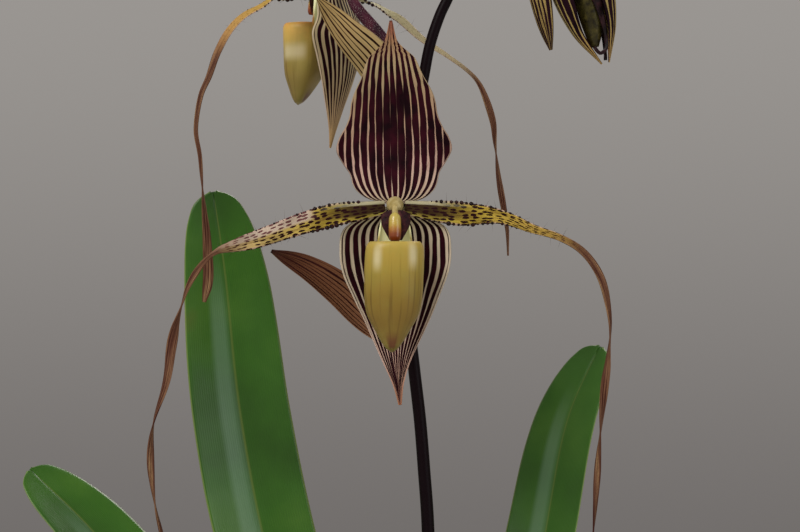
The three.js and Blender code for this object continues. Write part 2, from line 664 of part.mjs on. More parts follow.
function budPetal(side, tail) {
  const y = side * 5.4;
  const path = [[0.07, -0.9, 0.48], [0.2, -0.4, 1], [0.5, 1.8, 1], [0.7, 2.4, 0.8], ...tail];
  const shape = bladeShape({
    path: path.map(([along, out, share]) => budPoint(along, out, share * y)),
    facing: [[0, -side, 0], [0, -side, 0]],
    width: through([[0, 1.6], [0.2, 2.6], [0.5, 2], [0.72, 0.9], [1, 0.6]]),
  });
  return sheet(shape, 2, 16, PETAL_THICKNESS);
}

// The bud's pouch, still folded shut
function budPouch() {
  const path = [
    budPoint(0.1, 0, 0), budPoint(0.2, -0.6, 0), budPoint(0.4, -1, 0), budPoint(0.66, -1, 0),
    budPoint(0.88, -2.4, 0),
  ];
  return rod(path, through([[0, 1], [0.12, 2.8], [0.45, 4.6], [0.72, 4.5], [0.9, 3], [1, 1.4]]), 10, 9);
}

const OVARIES = [
  [
    [-9.5, -2.9, 388], [-10.4, -4.8, 389.6], [-11.8, -8.6, 403], [-12.8, -10.8, 419], [-12.8, -14, 429.8],
    inFirst([0, OVARY_SEAT, 0]),
  ],
  [
    [-5.5, 0.8, 474.5], [-8, 1.4, 476.2], [-17.3, 3.4, 492], [-28.6, 8.4, 507], inSecond([0.4, 9.6, 0.4]),
    inSecond([0, OVARY_SEAT, 0]),
  ],
  [
    [34.2, 0, 543.7], [37.6, 0, 545.2], [43, 0, 545.6], [48, 0, 542.6], [50.4, 0, 539.2],
    budPoint(0.021, 0, 0),
  ],
];

const BRACTS = [
  {
    path: [[-11.2, -0.9, 379.6], [-17, -2.4, 382.8], [-35, -2, 399], [-46, -1.5, 407], [-58.6, -1, 413.5]],
    face: [0.3, -0.9, 0.35], width: 7.4, depth: 4.5,
  },
  {
    path: [
      [-8.6, -2.3, 466.5], [-12.8, -4.5, 471], [-22, -7.6, 483.4], [-31.2, -9.6, 493.4],
      [-41.2, -10.5, 505.9],
    ],
    face: [0.35, 0.9, 0.35], width: 8.2, depth: 3,
  },
  {
    path: [
      [31.2, -3.2, 539.6], [32.9, -4.2, 533.4], [36.2, -5, 521], [39.8, -5, 506.4], [44.6, -3.4, 487.6],
    ],
    face: [0.85, 0.5, 0.2], tipFace: [0.3, 0.9, 0.1], width: 5.8, depth: 3,
  },
];

// Finishes by kind of piece
const FINISH = {
  pot: { color: 0x2b2d2c, roughness: 0.55 },
  bark: { color: 0x5b3d28, roughness: 0.9 },
  root: { color: 0x8c7a58, roughness: 0.8 },
  leaf: { color: 0x2f6b23, roughness: 0.38 },
  stem: { color: 0x1c0f12, roughness: 0.4 },
  ovary: { color: 0x4a1f2b, roughness: 0.7 },
  bract: { color: 0x6d4a35, roughness: 0.6 },
  darkSepal: { color: 0x4c1a22, roughness: 0.5 },
  paleSepal: { color: 0xb39a83, roughness: 0.5 },
  petal: { color: 0xb08b33, roughness: 0.5 },
  pouch: { color: 0xb39a2c, roughness: 0.3 },
  column: { color: 0xb98f3a, roughness: 0.4 },
};

const model = new THREE.Group();

function add(name, geometry, finish, group = model) {
  const material = new THREE.MeshStandardMaterial({ ...FINISH[finish], metalness: 0 });
  const mesh = new THREE.Mesh(geometry, material);
  mesh.name = name;
  group.add(mesh);
}

function addFlower(name, { at, turn, size }, sepalBreadth, pouchForm, leftPetal, rightPetal) {
  const group = new THREE.Group();
  group.position.set(...at);
  group.rotation.z = THREE.MathUtils.degToRad(turn);
  group.scale.setScalar(size);
  model.add(group);
  add(`${name}_dorsal_sepal`, dorsalSepal(), 'darkSepal', group);
  add(`${name}_synsepal`, synsepal(sepalBreadth), 'paleSepal', group);
  add(`${name}_pouch`, pouch(pouchForm), 'pouch', group);
  add(`${name}_column`, column(), 'column', group);
  add(`${name}_left_petal`, petal(leftPetal), 'petal');
  add(`${name}_right_petal`, petal(rightPetal), 'petal');
}

add('pot', pot(), 'pot');
add('potting_bark', pottingBark(), 'bark');
add('crown_and_roots', fromSolid(crown(0)), 'root');
LEAVES.forEach((form, k) => add(`leaf_${k + 1}`, leaf(form), 'leaf'));
add('flower_stem', flowerStem(), 'stem');
OVARIES.forEach((path, k) => add(`ovary_${k + 1}`, ovary(path), 'ovary'));
BRACTS.forEach((form, k) => add(`bract_${k + 1}`, bract(form), 'bract'));
addFlower('flower_1', FIRST_FLOWER, 1, FIRST_POUCH, FIRST_LEFT_PETAL, FIRST_RIGHT_PETAL);
addFlower('flower_2', SECOND_FLOWER, 1.25, SECOND_POUCH, SECOND_LEFT_PETAL, SECOND_RIGHT_PETAL);
add('flower_3_dorsal_sepal', budSepal(1, 10, 1.2), 'paleSepal');
add('flower_3_synsepal', budSepal(-1, 13, -1.6), 'paleSepal');
add('flower_3_pouch', budPouch(), 'pouch');
add('flower_3_left_petal', budPetal(1, BUD_STRAIGHT_TAIL), 'petal');
add('flower_3_right_petal', budPetal(-1, BUD_HOOKED_TAIL), 'petal');

export default model;
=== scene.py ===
# %% [markdown]
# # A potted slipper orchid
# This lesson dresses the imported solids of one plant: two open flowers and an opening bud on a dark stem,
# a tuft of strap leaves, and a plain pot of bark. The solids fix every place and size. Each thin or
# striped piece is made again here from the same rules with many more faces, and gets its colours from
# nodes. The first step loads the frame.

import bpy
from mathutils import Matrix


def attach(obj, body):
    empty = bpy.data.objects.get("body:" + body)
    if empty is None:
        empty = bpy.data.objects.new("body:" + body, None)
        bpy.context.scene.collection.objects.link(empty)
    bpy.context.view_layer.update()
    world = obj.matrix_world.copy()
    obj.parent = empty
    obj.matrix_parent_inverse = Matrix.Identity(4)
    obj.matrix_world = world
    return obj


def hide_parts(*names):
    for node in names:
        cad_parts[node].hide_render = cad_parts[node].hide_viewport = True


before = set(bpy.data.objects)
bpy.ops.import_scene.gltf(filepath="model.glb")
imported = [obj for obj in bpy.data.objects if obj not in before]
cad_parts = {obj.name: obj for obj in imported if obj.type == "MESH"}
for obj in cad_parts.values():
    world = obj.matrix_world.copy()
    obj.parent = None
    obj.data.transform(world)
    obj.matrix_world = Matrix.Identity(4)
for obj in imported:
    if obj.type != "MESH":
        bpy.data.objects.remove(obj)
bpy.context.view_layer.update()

# %% Other libraries
import math

import bpy
import numpy as np
from mathutils import Vector

MM = 0.001


def new_object(name, data):
    """An object in the scene that holds a mesh, a light or a camera."""
    made = bpy.data.objects.new(name, data)
    bpy.context.scene.collection.objects.link(made)
    return made


print("lengths are given in millimetres and drawn in metres")

# %% [markdown]
# ## Camera and light
# The flowers are seen from straight in front through a long lens, level with the first pouch. A little
# less than a metre of distance and a 112.5 mm lens give a flat perspective. The light is a large soft
# panel high on the left, a weaker one on the right and a little light from behind. The floor and the
# grey surround are made at the end.

# %% Camera
CAMERA_PLACE = Vector((-11, -925, 408)) * MM
CAMERA_LENS = 112.5

camera = new_object("camera", bpy.data.cameras.new("camera"))
camera.data.lens = CAMERA_LENS
camera.data.sensor_width = 36.0
camera.data.clip_start = 0.05
camera.location = CAMERA_PLACE
camera.rotation_euler = (math.radians(90), 0, 0)
bpy.context.scene.camera = camera
print("camera at", list(CAMERA_PLACE), "lens", CAMERA_LENS)


# %% Light
def soft_panel(name, place, aim, size, power, tint):
    """A square light of a given size that shines from place towards aim."""
    panel = bpy.data.lights.new(name, "AREA")
    panel.size = size
    panel.energy = power
    panel.color = tint
    holder = new_object(name, panel)
    holder.location = place
    direction = Vector(aim) - Vector(place)
    holder.rotation_euler = direction.to_track_quat("-Z", "Y").to_euler()


FLOWER_HEIGHT = (0, 0, 0.40)
soft_panel("key_light", (-1.1, -1.3, 1.7), FLOWER_HEIGHT, 0.9, 26, (1.0, 0.98, 0.95))
soft_panel("fill_light", (1.5, -1.2, 0.9), FLOWER_HEIGHT, 1.2, 9, (0.95, 0.97, 1.0))
soft_panel("back_light", (0.5, 1.5, 1.6), FLOWER_HEIGHT, 0.9, 14, (1.0, 0.98, 0.96))

world = bpy.data.worlds.new("studio")
world.use_nodes = True
world.node_tree.nodes["Background"].inputs["Strength"].default_value = 1.0
bpy.context.scene.world = world
bpy.context.scene.view_settings.view_transform = "Standard"
print("three soft panels and a world called", world.name)

# %% [markdown]
# ## Node helpers
# A material is a small graph. Writing each node as one call, with its sockets given as values or as the
# outputs of other nodes, keeps a finish readable from its ground colour to its last detail. Patterns that
# follow a petal or a sepal read that piece's own map, called "blade": its first number runs from one
# margin to the other and its second from foot to tip.


# %% Node helpers
def paint(code):
    """A colour written as six hexadecimal digits, as the linear values that nodes expect."""
    parts = [int(code[i:i + 2], 16) / 255 for i in (0, 2, 4)]
    linear = [c / 12.92 if c <= 0.04045 else ((c + 0.055) / 1.055) ** 2.4 for c in parts]
    return (*linear, 1.0)


def fill_sockets(tree, made, sockets):
    """Gives each named socket of a node a value, or the output of another node."""
    for name, value in sockets.items():
        if isinstance(value, bpy.types.NodeSocket):
            tree.links.new(value, made.inputs[name])
        else:
            made.inputs[name].default_value = value


def add_node(tree, kind, sockets=None, **settings):
    """A node with its settings and its sockets filled."""
    made = tree.nodes.new(kind)
    for name, value in settings.items():
        setattr(made, name, value)
    fill_sockets(tree, made, sockets or {})
    return made


def sum_up(tree, operation, *values):
    """A Math node on one, two or three values."""
    return add_node(tree, "ShaderNodeMath", dict(enumerate(values)), operation=operation).outputs[0]


def product(tree, first, *values):
    """Values multiplied together."""
    for value in values:
        first = sum_up(tree, "MULTIPLY", first, value)
    return first


def inverse(tree, value):
    """One minus a value."""
    return sum_up(tree, "SUBTRACT", 1.0, value)


def step_between(tree, value, low, high):
    """0 below low, 1 above high and a smooth rise between them."""
    made = add_node(tree, "ShaderNodeMapRange", {0: value, 1: low, 2: high},
                    interpolation_type="SMOOTHSTEP")
    return made.outputs[0]


def fall_between(tree, value, low, high):
    """1 below low, 0 above high and a smooth fall between them."""
    return inverse(tree, step_between(tree, value, low, high))


def blend_colours(tree, share, first, second):
    """The first colour, turned into the second one as share goes from 0 to 1."""
    made = add_node(tree, "ShaderNodeMix", {0: share, 6: first, 7: second}, data_type="RGBA")
    return made.outputs[2]


def tint(tree, colour, code, mask, strength):
    """A colour turned towards another by the given strength, where a mask is 1."""
    return blend_colours(tree, product(tree, mask, strength), colour, paint(code))


def grade(tree, value, stops):
    """A colour ramp through (place, colour code) stops."""
    made = add_node(tree, "ShaderNodeValToRGB", {0: value})
    ramp = made.color_ramp
    while len(ramp.elements) < len(stops):
        ramp.elements.new(0.5)
    for element, (place, code) in zip(ramp.elements, stops):
        element.position = place
        element.color = paint(code)
    return made.outputs[0]


def level_curve(tree, value, pairs):
    """A number that follows (place, level) pairs, with levels from 0 to 1."""
    made = add_node(tree, "ShaderNodeFloatCurve", {1: value})
    curve = made.mapping.curves[0]
    while len(curve.points) < len(pairs):
        curve.points.new(0.5, 0.5)
    for point, pair in zip(curve.points, pairs):
        point.location = pair
        point.handle_type = "AUTO_CLAMPED"
    made.mapping.update()
    return made.outputs[0]


def noise(tree, where, scale, detail=3.0, rough=0.5, dimensions="3D"):
    """Soft random values round 0.5."""
    made = add_node(tree, "ShaderNodeTexNoise",
                    {"Vector": where, "Scale": scale, "Detail": detail, "Roughness": rough},
                    noise_dimensions=dimensions)
    return made.outputs[0]


def stretched(tree, where, scale):
    """Coordinates multiplied by a different number on each axis."""
    return add_node(tree, "ShaderNodeMapping", {"Vector": where, "Scale": scale}).outputs[0]


def new_group(name, inputs, outputs):
    """An empty shader group with named number, vector or colour sockets."""
    kinds = {"number": "NodeSocketFloat", "vector": "NodeSocketVector", "colour": "NodeSocketColor"}
    tree = bpy.data.node_groups.new(name, "ShaderNodeTree")
    for direction, sockets in (("INPUT", inputs), ("OUTPUT", outputs)):
        for label, (kind, start) in sockets.items():
            socket = tree.interface.new_socket(label, in_out=direction, socket_type=kinds[kind])
            if start is not None:
                socket.default_value = start
    return tree, tree.nodes.new("NodeGroupInput"), tree.nodes.new("NodeGroupOutput")


def use_group(tree, group, sockets, output):
    """One output of a shared group placed in a material."""
    made = tree.nodes.new("ShaderNodeGroup")
    made.node_tree = group
    fill_sockets(tree, made, sockets)
    return made.outputs[output]


def new_material(name, roughness=0.5, coat=0.0, specular=0.5, subsurface=0.0):
    """A material with a Principled shader, its tree, and that shader."""
    material = bpy.data.materials.new(name)
    material.use_nodes = True
    shader = material.node_tree.nodes["Principled BSDF"]
    shader.inputs["Roughness"].default_value = roughness
    shader.inputs["Coat Weight"].default_value = coat
    shader.inputs["Coat Roughness"].default_value = 0.25
    shader.inputs["Specular IOR Level"].default_value = specular
    shader.inputs["Subsurface Weight"].default_value = subsurface
    shader.inputs["Subsurface Radius"].default_value = (0.002, 0.0012, 0.0006)
    shader.inputs["Subsurface Scale"].default_value = 0.6
    return material, material.node_tree, shader


def object_place(tree):
    """Coordinates in metres in the plant's own frame."""
    return add_node(tree, "ShaderNodeTexCoord").outputs["Object"]


def piece_value(tree, name):
    """A number that a piece carries at each of its points, by its name."""
    return add_node(tree, "ShaderNodeAttribute", attribute_name=name).outputs["Fac"]


def blade_map(tree):
    """The map of a blade: the place across, from -1 to 1, the place along, and both as coordinates."""
    where = add_node(tree, "ShaderNodeUVMap", uv_map="blade").outputs[0]
    parts = add_node(tree, "ShaderNodeSeparateXYZ", {0: where})
    across = sum_up(tree, "MULTIPLY_ADD", parts.outputs[0], 2.0, -1.0)
    return across, parts.outputs[1], where


def set_bump(tree, shader, height, strength, distance):
    """Raises a surface by a height pattern."""
    made = add_node(tree, "ShaderNodeBump",
                    {"Height": height, "Strength": strength, "Distance": distance})
    tree.links.new(made.outputs[0], shader.inputs["Normal"])


print("node helpers ready")

# %% [markdown]
# ## Vein lines
# Sepals, bracts and leaves share one habit: fine lines that run from foot to tip, crowd together where the
# blade narrows and wander a little. One group draws them. It takes how many lines there are and what share
# of the space they cover, and puts out a mask that is 1 on a line.


# %% Vein lines group
def make_vein_group():
    """The shared group that draws lengthwise lines on a blade map."""
    tree, given, result = new_group(
        "vein_lines",
        {"Across": ("number", 0.0), "Along": ("number", 0.0), "Count": ("number", 14.0),
         "Share": ("number", 0.5), "Wander": ("number", 0.3), "Softness": ("number", 0.12)},
        {"Mask": ("number", None)},
    )
    place = add_node(tree, "ShaderNodeCombineXYZ", {0: given.outputs["Across"]})
    tree.links.new(given.outputs["Along"], place.inputs[1])
    bend = noise(tree, stretched(tree, place.outputs[0], (3.0, 5.0, 1.0)), 1.0, 2.0)
    bend = sum_up(tree, "SUBTRACT", bend, 0.5)
    bend = product(tree, bend, given.outputs["Wander"])
    turns = product(tree, given.outputs["Across"], given.outputs["Count"])
    turns = sum_up(tree, "MULTIPLY_ADD", turns, 0.5, bend)
    apart = sum_up(tree, "SUBTRACT", sum_up(tree, "FRACT", sum_up(tree, "ADD", turns, 60.5)), 0.5)
    apart = product(tree, sum_up(tree, "ABSOLUTE", apart), 2.0)
    low = sum_up(tree, "SUBTRACT", given.outputs["Share"], given.outputs["Softness"])
    high = sum_up(tree, "ADD", given.outputs["Share"], given.outputs["Softness"])
    outside = step_between(tree, apart, low, high)
    tree.links.new(inverse(tree, outside), result.inputs["Mask"])
    return tree


VEIN_LINES = make_vein_group()
print("group:", VEIN_LINES.name)

# %% [markdown]
# ## Smooth lines and blades
# Petals, sepals, bracts and leaves are all blades: a path, a half width that changes along it, a hollow or
# wavy section, and perhaps a twist. A blade is made here as rings of points round its section, front and
# back, so that its margins are closed and thin. The same skin closes the pouches, the stem and the pot.


# %% Smooth lines
def through(pairs):
    """A smooth function of one variable through (x, y) pairs."""
    x = np.array([pair[0] for pair in pairs], float)
    y = np.array([pair[1] for pair in pairs], float)
    before = np.maximum(np.arange(len(x)) - 1, 0)
    after = np.minimum(np.arange(len(x)) + 1, len(x) - 1)
    slope = (y[after] - y[before]) / (x[after] - x[before])

    def value(at):
        k = np.clip(np.searchsorted(x, at, side="left") - 1, 0, len(x) - 2)
        span = x[k + 1] - x[k]
        t = np.clip((at - x[k]) / span, 0, 1)
        leave = t * (1 - t) ** 2 * span * slope[k]
        arrive = t ** 2 * (1 - t) * span * slope[k + 1]
        return y[k] + (y[k + 1] - y[k]) * t * t * (3 - 2 * t) + leave - arrive

    return value


class Line:
    """One smooth line through points, read by the share of its length."""

    def __init__(self, points, steps=120):
        given = np.array(points, float)
        ends = (2 * given[0] - given[1], 2 * given[-1] - given[-2])
        row = np.vstack([ends[0], given, ends[1]])
        pieces = []
        for i in range(1, len(row) - 2):
            before, start, stop, after = row[i - 1:i + 3]
            gaps = [math.sqrt(np.linalg.norm(b - a)) for a, b in
                    ((before, start), (start, stop), (stop, after))]
            leave = (start - before) / gaps[0] - (stop - before) / (gaps[0] + gaps[1])
            leave = (leave + (stop - start) / gaps[1]) * gaps[1]
            arrive = (stop - start) / gaps[1] - (after - start) / (gaps[1] + gaps[2])
            arrive = (arrive + (after - stop) / gaps[2]) * gaps[1]
            t = np.linspace(0, 1, steps, endpoint=False)[:, None]
            pieces.append(start + leave * t + (3 * (stop - start) - 2 * leave - arrive) * t ** 2
                          + (leave + arrive - 2 * (stop - start)) * t ** 3)
        self.points = np.vstack([*pieces, given[-1:]])
        reach = np.cumsum(np.linalg.norm(np.diff(self.points, axis=0), axis=1))
        self.length = float(reach[-1])
        self.share = np.concatenate([[0], reach]) / reach[-1]

    def at(self, v):
        return np.stack([np.interp(v, self.share, self.points[:, k]) for k in range(3)], -1)

    def along(self, v):
        step = 0.002
        ahead = self.at(np.minimum(v + step, 1)) - self.at(np.maximum(v - step, 0))
        return unit(ahead)


def unit(vectors):
    """Vectors of length one."""
    return vectors / np.maximum(np.linalg.norm(vectors, axis=-1, keepdims=True), 1e-12)


print("a quarter of the way along a test line:", Line([(0, 0, 0), (10, 0, 0), (20, 5, 0)]).at(0.25))


# %% Blades
class Blade:
    """The middle surface of a blade. Places are in millimetres, as in the solids."""

    def __init__(self, path, facing, width, relief=None, twist=None):
        self.line = Line(path)
        self.looks = np.array(facing, float)
        self.width = through(width)
        self.relief = relief
        self.twist = through(twist) if twist else None

    def frame(self, v):
        """The line's points at v, and the blade's directions across and up there."""
        forward = self.line.along(v)
        part = v * (len(self.looks) - 1)
        first = np.clip(np.floor(part).astype(int), 0, len(self.looks) - 2)
        rest = (part - first)[..., None]
        look = self.looks[first] * (1 - rest) + self.looks[first + 1] * rest
        side = unit(np.cross(forward, look))
        up = np.cross(side, forward)
        if self.twist:
            angle = np.radians(self.twist(v))[..., None]
            side, up = (side * np.cos(angle) - up * np.sin(angle),
                        up * np.cos(angle) + side * np.sin(angle))
        return self.line.at(v), side, up

    def at(self, u, v):
        """Points at u across, from -1 to 1, and v along, from 0 to 1."""
        place, side, up = self.frame(v)
        out = place + side * (self.width(v) * u)[..., None]
        if self.relief:
            out = out + up * self.relief(u, v)[..., None]
        return out

    def rings(self, across, along, thickness, crowding=1.0):
        """Rings round the blade from foot to tip, with the map's values across and along."""
        steps = np.linspace(-1, 1, across + 1)
        u_row = np.concatenate([steps, steps[-2:0:-1]])
        side = np.concatenate([np.ones(across + 1), -np.ones(across - 1)])
        v_row = 1 - (1 - np.linspace(0, 1, along + 1)) ** crowding
        u, v = np.meshgrid(u_row, v_row)
        step = 0.004
        over = self.at(np.minimum(u + step, 1), v) - self.at(np.maximum(u - step, -1), v)
        ahead = self.at(u, np.minimum(v + step, 1)) - self.at(u, np.maximum(v - step, 0))
        normal = unit(np.cross(over, ahead))
        thin = np.sqrt(1 - np.abs(u) ** 6) * 0.5 * thickness
        points = self.at(u, v) + normal * (side * thin)[..., None]
        across_map = np.concatenate([0.5 + 0.5 * u_row, [0.0]])
        return points, across_map, v_row, {"front": np.broadcast_to(side > 0, u.shape)}


print("blades are ready")


# %% Skin
def close_ends(count, first_row, last_row):
    """Faces that close the two narrow ends of a blade, between its front and its back."""
    faces = []
    half = count // 2
    for row, order in ((first_row, 1), (last_row, -1)):
        for i in range(half):
            ring = [i, i + 1, (count - i - 1) % count, (count - i) % count]
            face = list(dict.fromkeys(row * count + k for k in ring))
            faces.append(face[::order])
    return faces


def skin(name, rings, across_map, along_map, material, poles=None, marks=None):
    """A closed mesh object through rings of points in millimetres, with the map called blade.
    Marks are further values, one for each point, that a material can read by name."""
    rows, count = rings.shape[:2]
    points = rings.reshape(-1, 3)
    corner = np.arange(rows - 1)[:, None] * count + np.arange(count)[None, :]
    beside = np.arange(rows - 1)[:, None] * count + (np.arange(count)[None, :] + 1) % count
    quads = np.stack([corner, beside, beside + count, corner + count], -1).reshape(-1, 4)
    map_u = np.stack([np.broadcast_to(across_map[:-1], corner.shape),
                      np.broadcast_to(across_map[1:], corner.shape)], -1)
    map_u = map_u[..., [0, 1, 1, 0]].reshape(-1, 4)
    low = np.broadcast_to(along_map[:-1, None], corner.shape)
    high = np.broadcast_to(along_map[1:, None], corner.shape)
    map_v = np.stack([low, low, high, high], -1).reshape(-1, 4)
    faces = quads.tolist()
    loop_map = np.stack([map_u, map_v], -1).reshape(-1, 2).tolist()
    if poles is None:
        for face in close_ends(count, 0, rows - 1):
            faces.append(face)
            loop_map += [(across_map[k % count], along_map[k // count]) for k in face]
    else:
        points = np.vstack([points, np.array(poles, float)])
        foot = rows * count
        for i in range(count):
            after = (i + 1) % count
            middle = 0.5 * (across_map[i] + across_map[i + 1])
            last = (rows - 1) * count
            faces.append([foot, after, i])
            faces.append([foot + 1, last + i, last + after])
            loop_map += [(middle, along_map[0]), (across_map[i + 1], along_map[0]),
                         (across_map[i], along_map[0])]
            loop_map += [(middle, along_map[-1]), (across_map[i], along_map[-1]),
                         (across_map[i + 1], along_map[-1])]
    corners = points[quads]
    middle = points.mean(0)
    turned = np.cross(corners[:, 1] - corners[:, 0], corners[:, 3] - corners[:, 0])
    volume = np.einsum("ij,ij->", corners[:, 0] - middle, turned)
    mesh = bpy.data.meshes.new(name)
    mesh.from_pydata((points * MM).tolist(), [], faces)
    layer = mesh.uv_layers.new(name="blade")
    layer.data.foreach_set("uv", np.array(loop_map, np.float32).ravel())
    for mark, given in (marks or {}).items():
        values = np.zeros(len(points), np.float32)
        values[:rows * count] = np.asarray(given, np.float32).ravel()
        mesh.attributes.new(mark, "FLOAT", "POINT").data.foreach_set("value", values)
    if volume < 0:
        mesh.flip_normals()
    mesh.shade_smooth()
    mesh.materials.append(material)
    return new_object(name, mesh)


def settle(piece, slot, *nodes):
    """The piece stands for the named solids and rides with the plant. Slot is not used."""
    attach(piece, "root")
    if nodes:
        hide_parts(*nodes)
    print(piece.name, len(piece.data.polygons), "faces")
    return piece


# %% Rods
def rod_rings(path, radius, sides, along, ribs=0, rib_height=0.0):
    """Rings round a line, with the two points that close it."""
    line = Line(path)
    v = np.linspace(0, 1, along + 1)
    centre = line.at(v)
    forward = line.along(v)
    first = np.cross(forward[0], (0.3, 0.2, 0.9))
    normals = [unit(first)]
    for direction in forward[1:]:
        carried = normals[-1] - direction * np.dot(normals[-1], direction)
        normals.append(unit(carried))
    normal = np.array(normals)
    across = np.cross(forward, normal)
    angle = np.linspace(0, 2 * math.pi, sides, endpoint=False)
    reach = radius(v)[:, None] + rib_height * np.cos(ribs * angle)[None, :]
    rings = (centre[:, None] + normal[:, None] * (reach * np.cos(angle))[..., None]
             + across[:, None] * (reach * np.sin(angle))[..., None])
    return rings, np.linspace(0, 1, sides + 1), v, (centre[0], centre[-1])


print("rods and skins are ready")

# %% [markdown]
# ## Where the flowers stand
# Both open flowers are made once, round their own middle, with the face to the front and the upper sepal
# up. The second one is turned away and a little smaller. These are the places of the solids.

# %% Flower places
FIRST_FLOWER = {"at": (-12.8, -25, 430), "turn": 0, "size": 1}
SECOND_FLOWER = {"at": (-36.3, 18, 514.4), "turn": -116, "size": 0.86}
FACE_FRONT = [(0, -1, 0), (0, -1, 0)]
SEPAL_THICKNESS = 0.6
PETAL_THICKNESS = 0.6
COLUMN_BACK = 3
SEPAL_FACES = (72, 90)
PETAL_FACES = (14, 520)
SEPAL_SEAT = 3.65
OVARY_SEAT = 4.3
TIP = 0.5


def in_flower(points, flower):
    """Points of a flower's own frame in the plant's frame."""
    angle = math.radians(flower["turn"])
    turn = np.array([[math.cos(angle), -math.sin(angle), 0], [math.sin(angle), math.cos(angle), 0],
                     [0, 0, 1]])
    return (np.asarray(points, float) * flower["size"]) @ turn.T + np.array(flower["at"])


def in_first(*point):
    return in_flower(point, FIRST_FLOWER)


def in_second(*point):
    return in_flower(point, SECOND_FLOWER)


print("flower middles:", in_first(0, 0, 0), in_second(0, 0, 0))

# %% [markdown]
# ## Sepal finish
# The upper sepal is almost solid dark maroon in its middle, where the lines have grown together, and shows
# cream lines near its margins. The lower sepal keeps even dark lines on cream. Both end in a rusty point.
# One material maker serves both, and the bud's sepals too, with a curve that says how wide the lines are.


# %% Sepal finish
def sepal_material(name, count, ground, ink, share, middle, rim, shade, uneven=0.8, fan=False):
    """Cream ground that changes from foot to tip, with dark lines over it.
    Share and middle say how much of the space the lines fill along the sepal, at its margins and in
    its middle. Rim is the width of the pale margin, and shade is the colour of the faint streaks
    between lines. With fan the lines follow the piece's own stripe attribute, which runs smoothly past
    the kinks of its outline."""
    material, tree, shader = new_material(name, 0.65, specular=0.05)
    across, along, where = blade_map(tree)
    from_middle = sum_up(tree, "ABSOLUTE", across)
    stripe = across
    if fan:
        stripe = piece_value(tree, "stripe")
    near_middle = fall_between(tree, sum_up(tree, "ABSOLUTE", stripe), 0.08, 0.75)
    at_margin = level_curve(tree, along, share)
    at_middle = level_curve(tree, along, middle)
    filled = sum_up(tree, "MULTIPLY_ADD", near_middle, sum_up(tree, "SUBTRACT", at_middle, at_margin),
                    at_margin)
    patchy = noise(tree, stretched(tree, where, (count * 0.9, 4.0, 1.0)), 1.0, 2.0)
    filled = sum_up(tree, "MULTIPLY_ADD", sum_up(tree, "SUBTRACT", patchy, 0.5), uneven, filled)
    lines = use_group(tree, VEIN_LINES, {"Across": stripe, "Along": along, "Count": count,
                                         "Share": filled, "Wander": 0.35, "Softness": 0.09}, "Mask")
    margin = step_between(tree, from_middle, 1.0 - rim, 1.0 - 0.6 * rim)
    lines = product(tree, lines, inverse(tree, margin))
    pale = grade(tree, along, ground)
    streaks = noise(tree, stretched(tree, where, (90.0, 4.0, 1.0)), 1.0, 2.0)
    pale = blend_colours(tree, step_between(tree, streaks, 0.45, 0.8), pale, shade)
    dark = grade(tree, noise(tree, object_place(tree), 160.0), ink)
    front_colour = blend_colours(tree, lines, pale, dark)
    faded = blend_colours(tree, lines, blend_colours(tree, 0.5, pale, paint("b8a060")), dark)
    front = piece_value(tree, "front")
    tree.links.new(blend_colours(tree, front, faded, front_colour), shader.inputs["Base Color"])
    set_bump(tree, shader, sum_up(tree, "ADD", lines, streaks), 0.2, 0.0003)
    return material


UPPER_SEPAL = sepal_material(
    "upper_sepal_lines", 12.5,
    ground=[(0.0, "cdb79c"), (0.2, "c9a798"), (0.5, "b79678"), (0.62, "a99270"), (0.76, "b19c76"),
            (0.87, "a88460"), (0.94, "a0684e"), (1.0, "8a4c3c")],
    ink=[(0.35, "17050b"), (0.65, "330a16")],
    share=[(0, 0.5), (0.1, 0.62), (0.2, 0.7), (0.4, 0.78), (0.6, 0.74), (0.72, 0.58), (0.85, 0.46),
           (0.94, 0.2), (1, 0)],
    middle=[(0, 0.55), (0.08, 0.78), (0.2, 0.94), (0.3, 1), (0.55, 1), (0.66, 0.78), (0.78, 0.55),
            (0.88, 0.4), (0.95, 0.2), (1, 0)],
    rim=0.03, shade=paint("a9866e"), uneven=0.7, fan=True,
)
LOWER_SEPAL = sepal_material(
    "lower_sepal_lines", 14,
    ground=[(0.0, "d3c8a8"), (0.15, "d0c1a8"), (0.5, "d0bfaa"), (0.78, "d2ad9c"), (0.9, "b88a74"),
            (1.0, "9a5d40")],
    ink=[(0.35, "18050b"), (0.65, "2e0a14")],
    share=[(0, 0.4), (0.1, 0.6), (0.5, 0.66), (0.8, 0.5), (0.92, 0.24), (1, 0)],
    middle=[(0, 0.4), (0.1, 0.6), (0.5, 0.56), (0.8, 0.4), (0.92, 0.24), (1, 0.1)],
    rim=0.04, shade=paint("b8a38c"), uneven=1.0,
)
print("sepal finishes:", UPPER_SEPAL.name, LOWER_SEPAL.name)

# %% [markdown]
# ## Sepals
# The upper sepal is hooded, and the corners low on its sides turn back. The lower one is two sepals grown
# into one hollow shield behind the pouch. Fine pleats follow the dark lines of both.


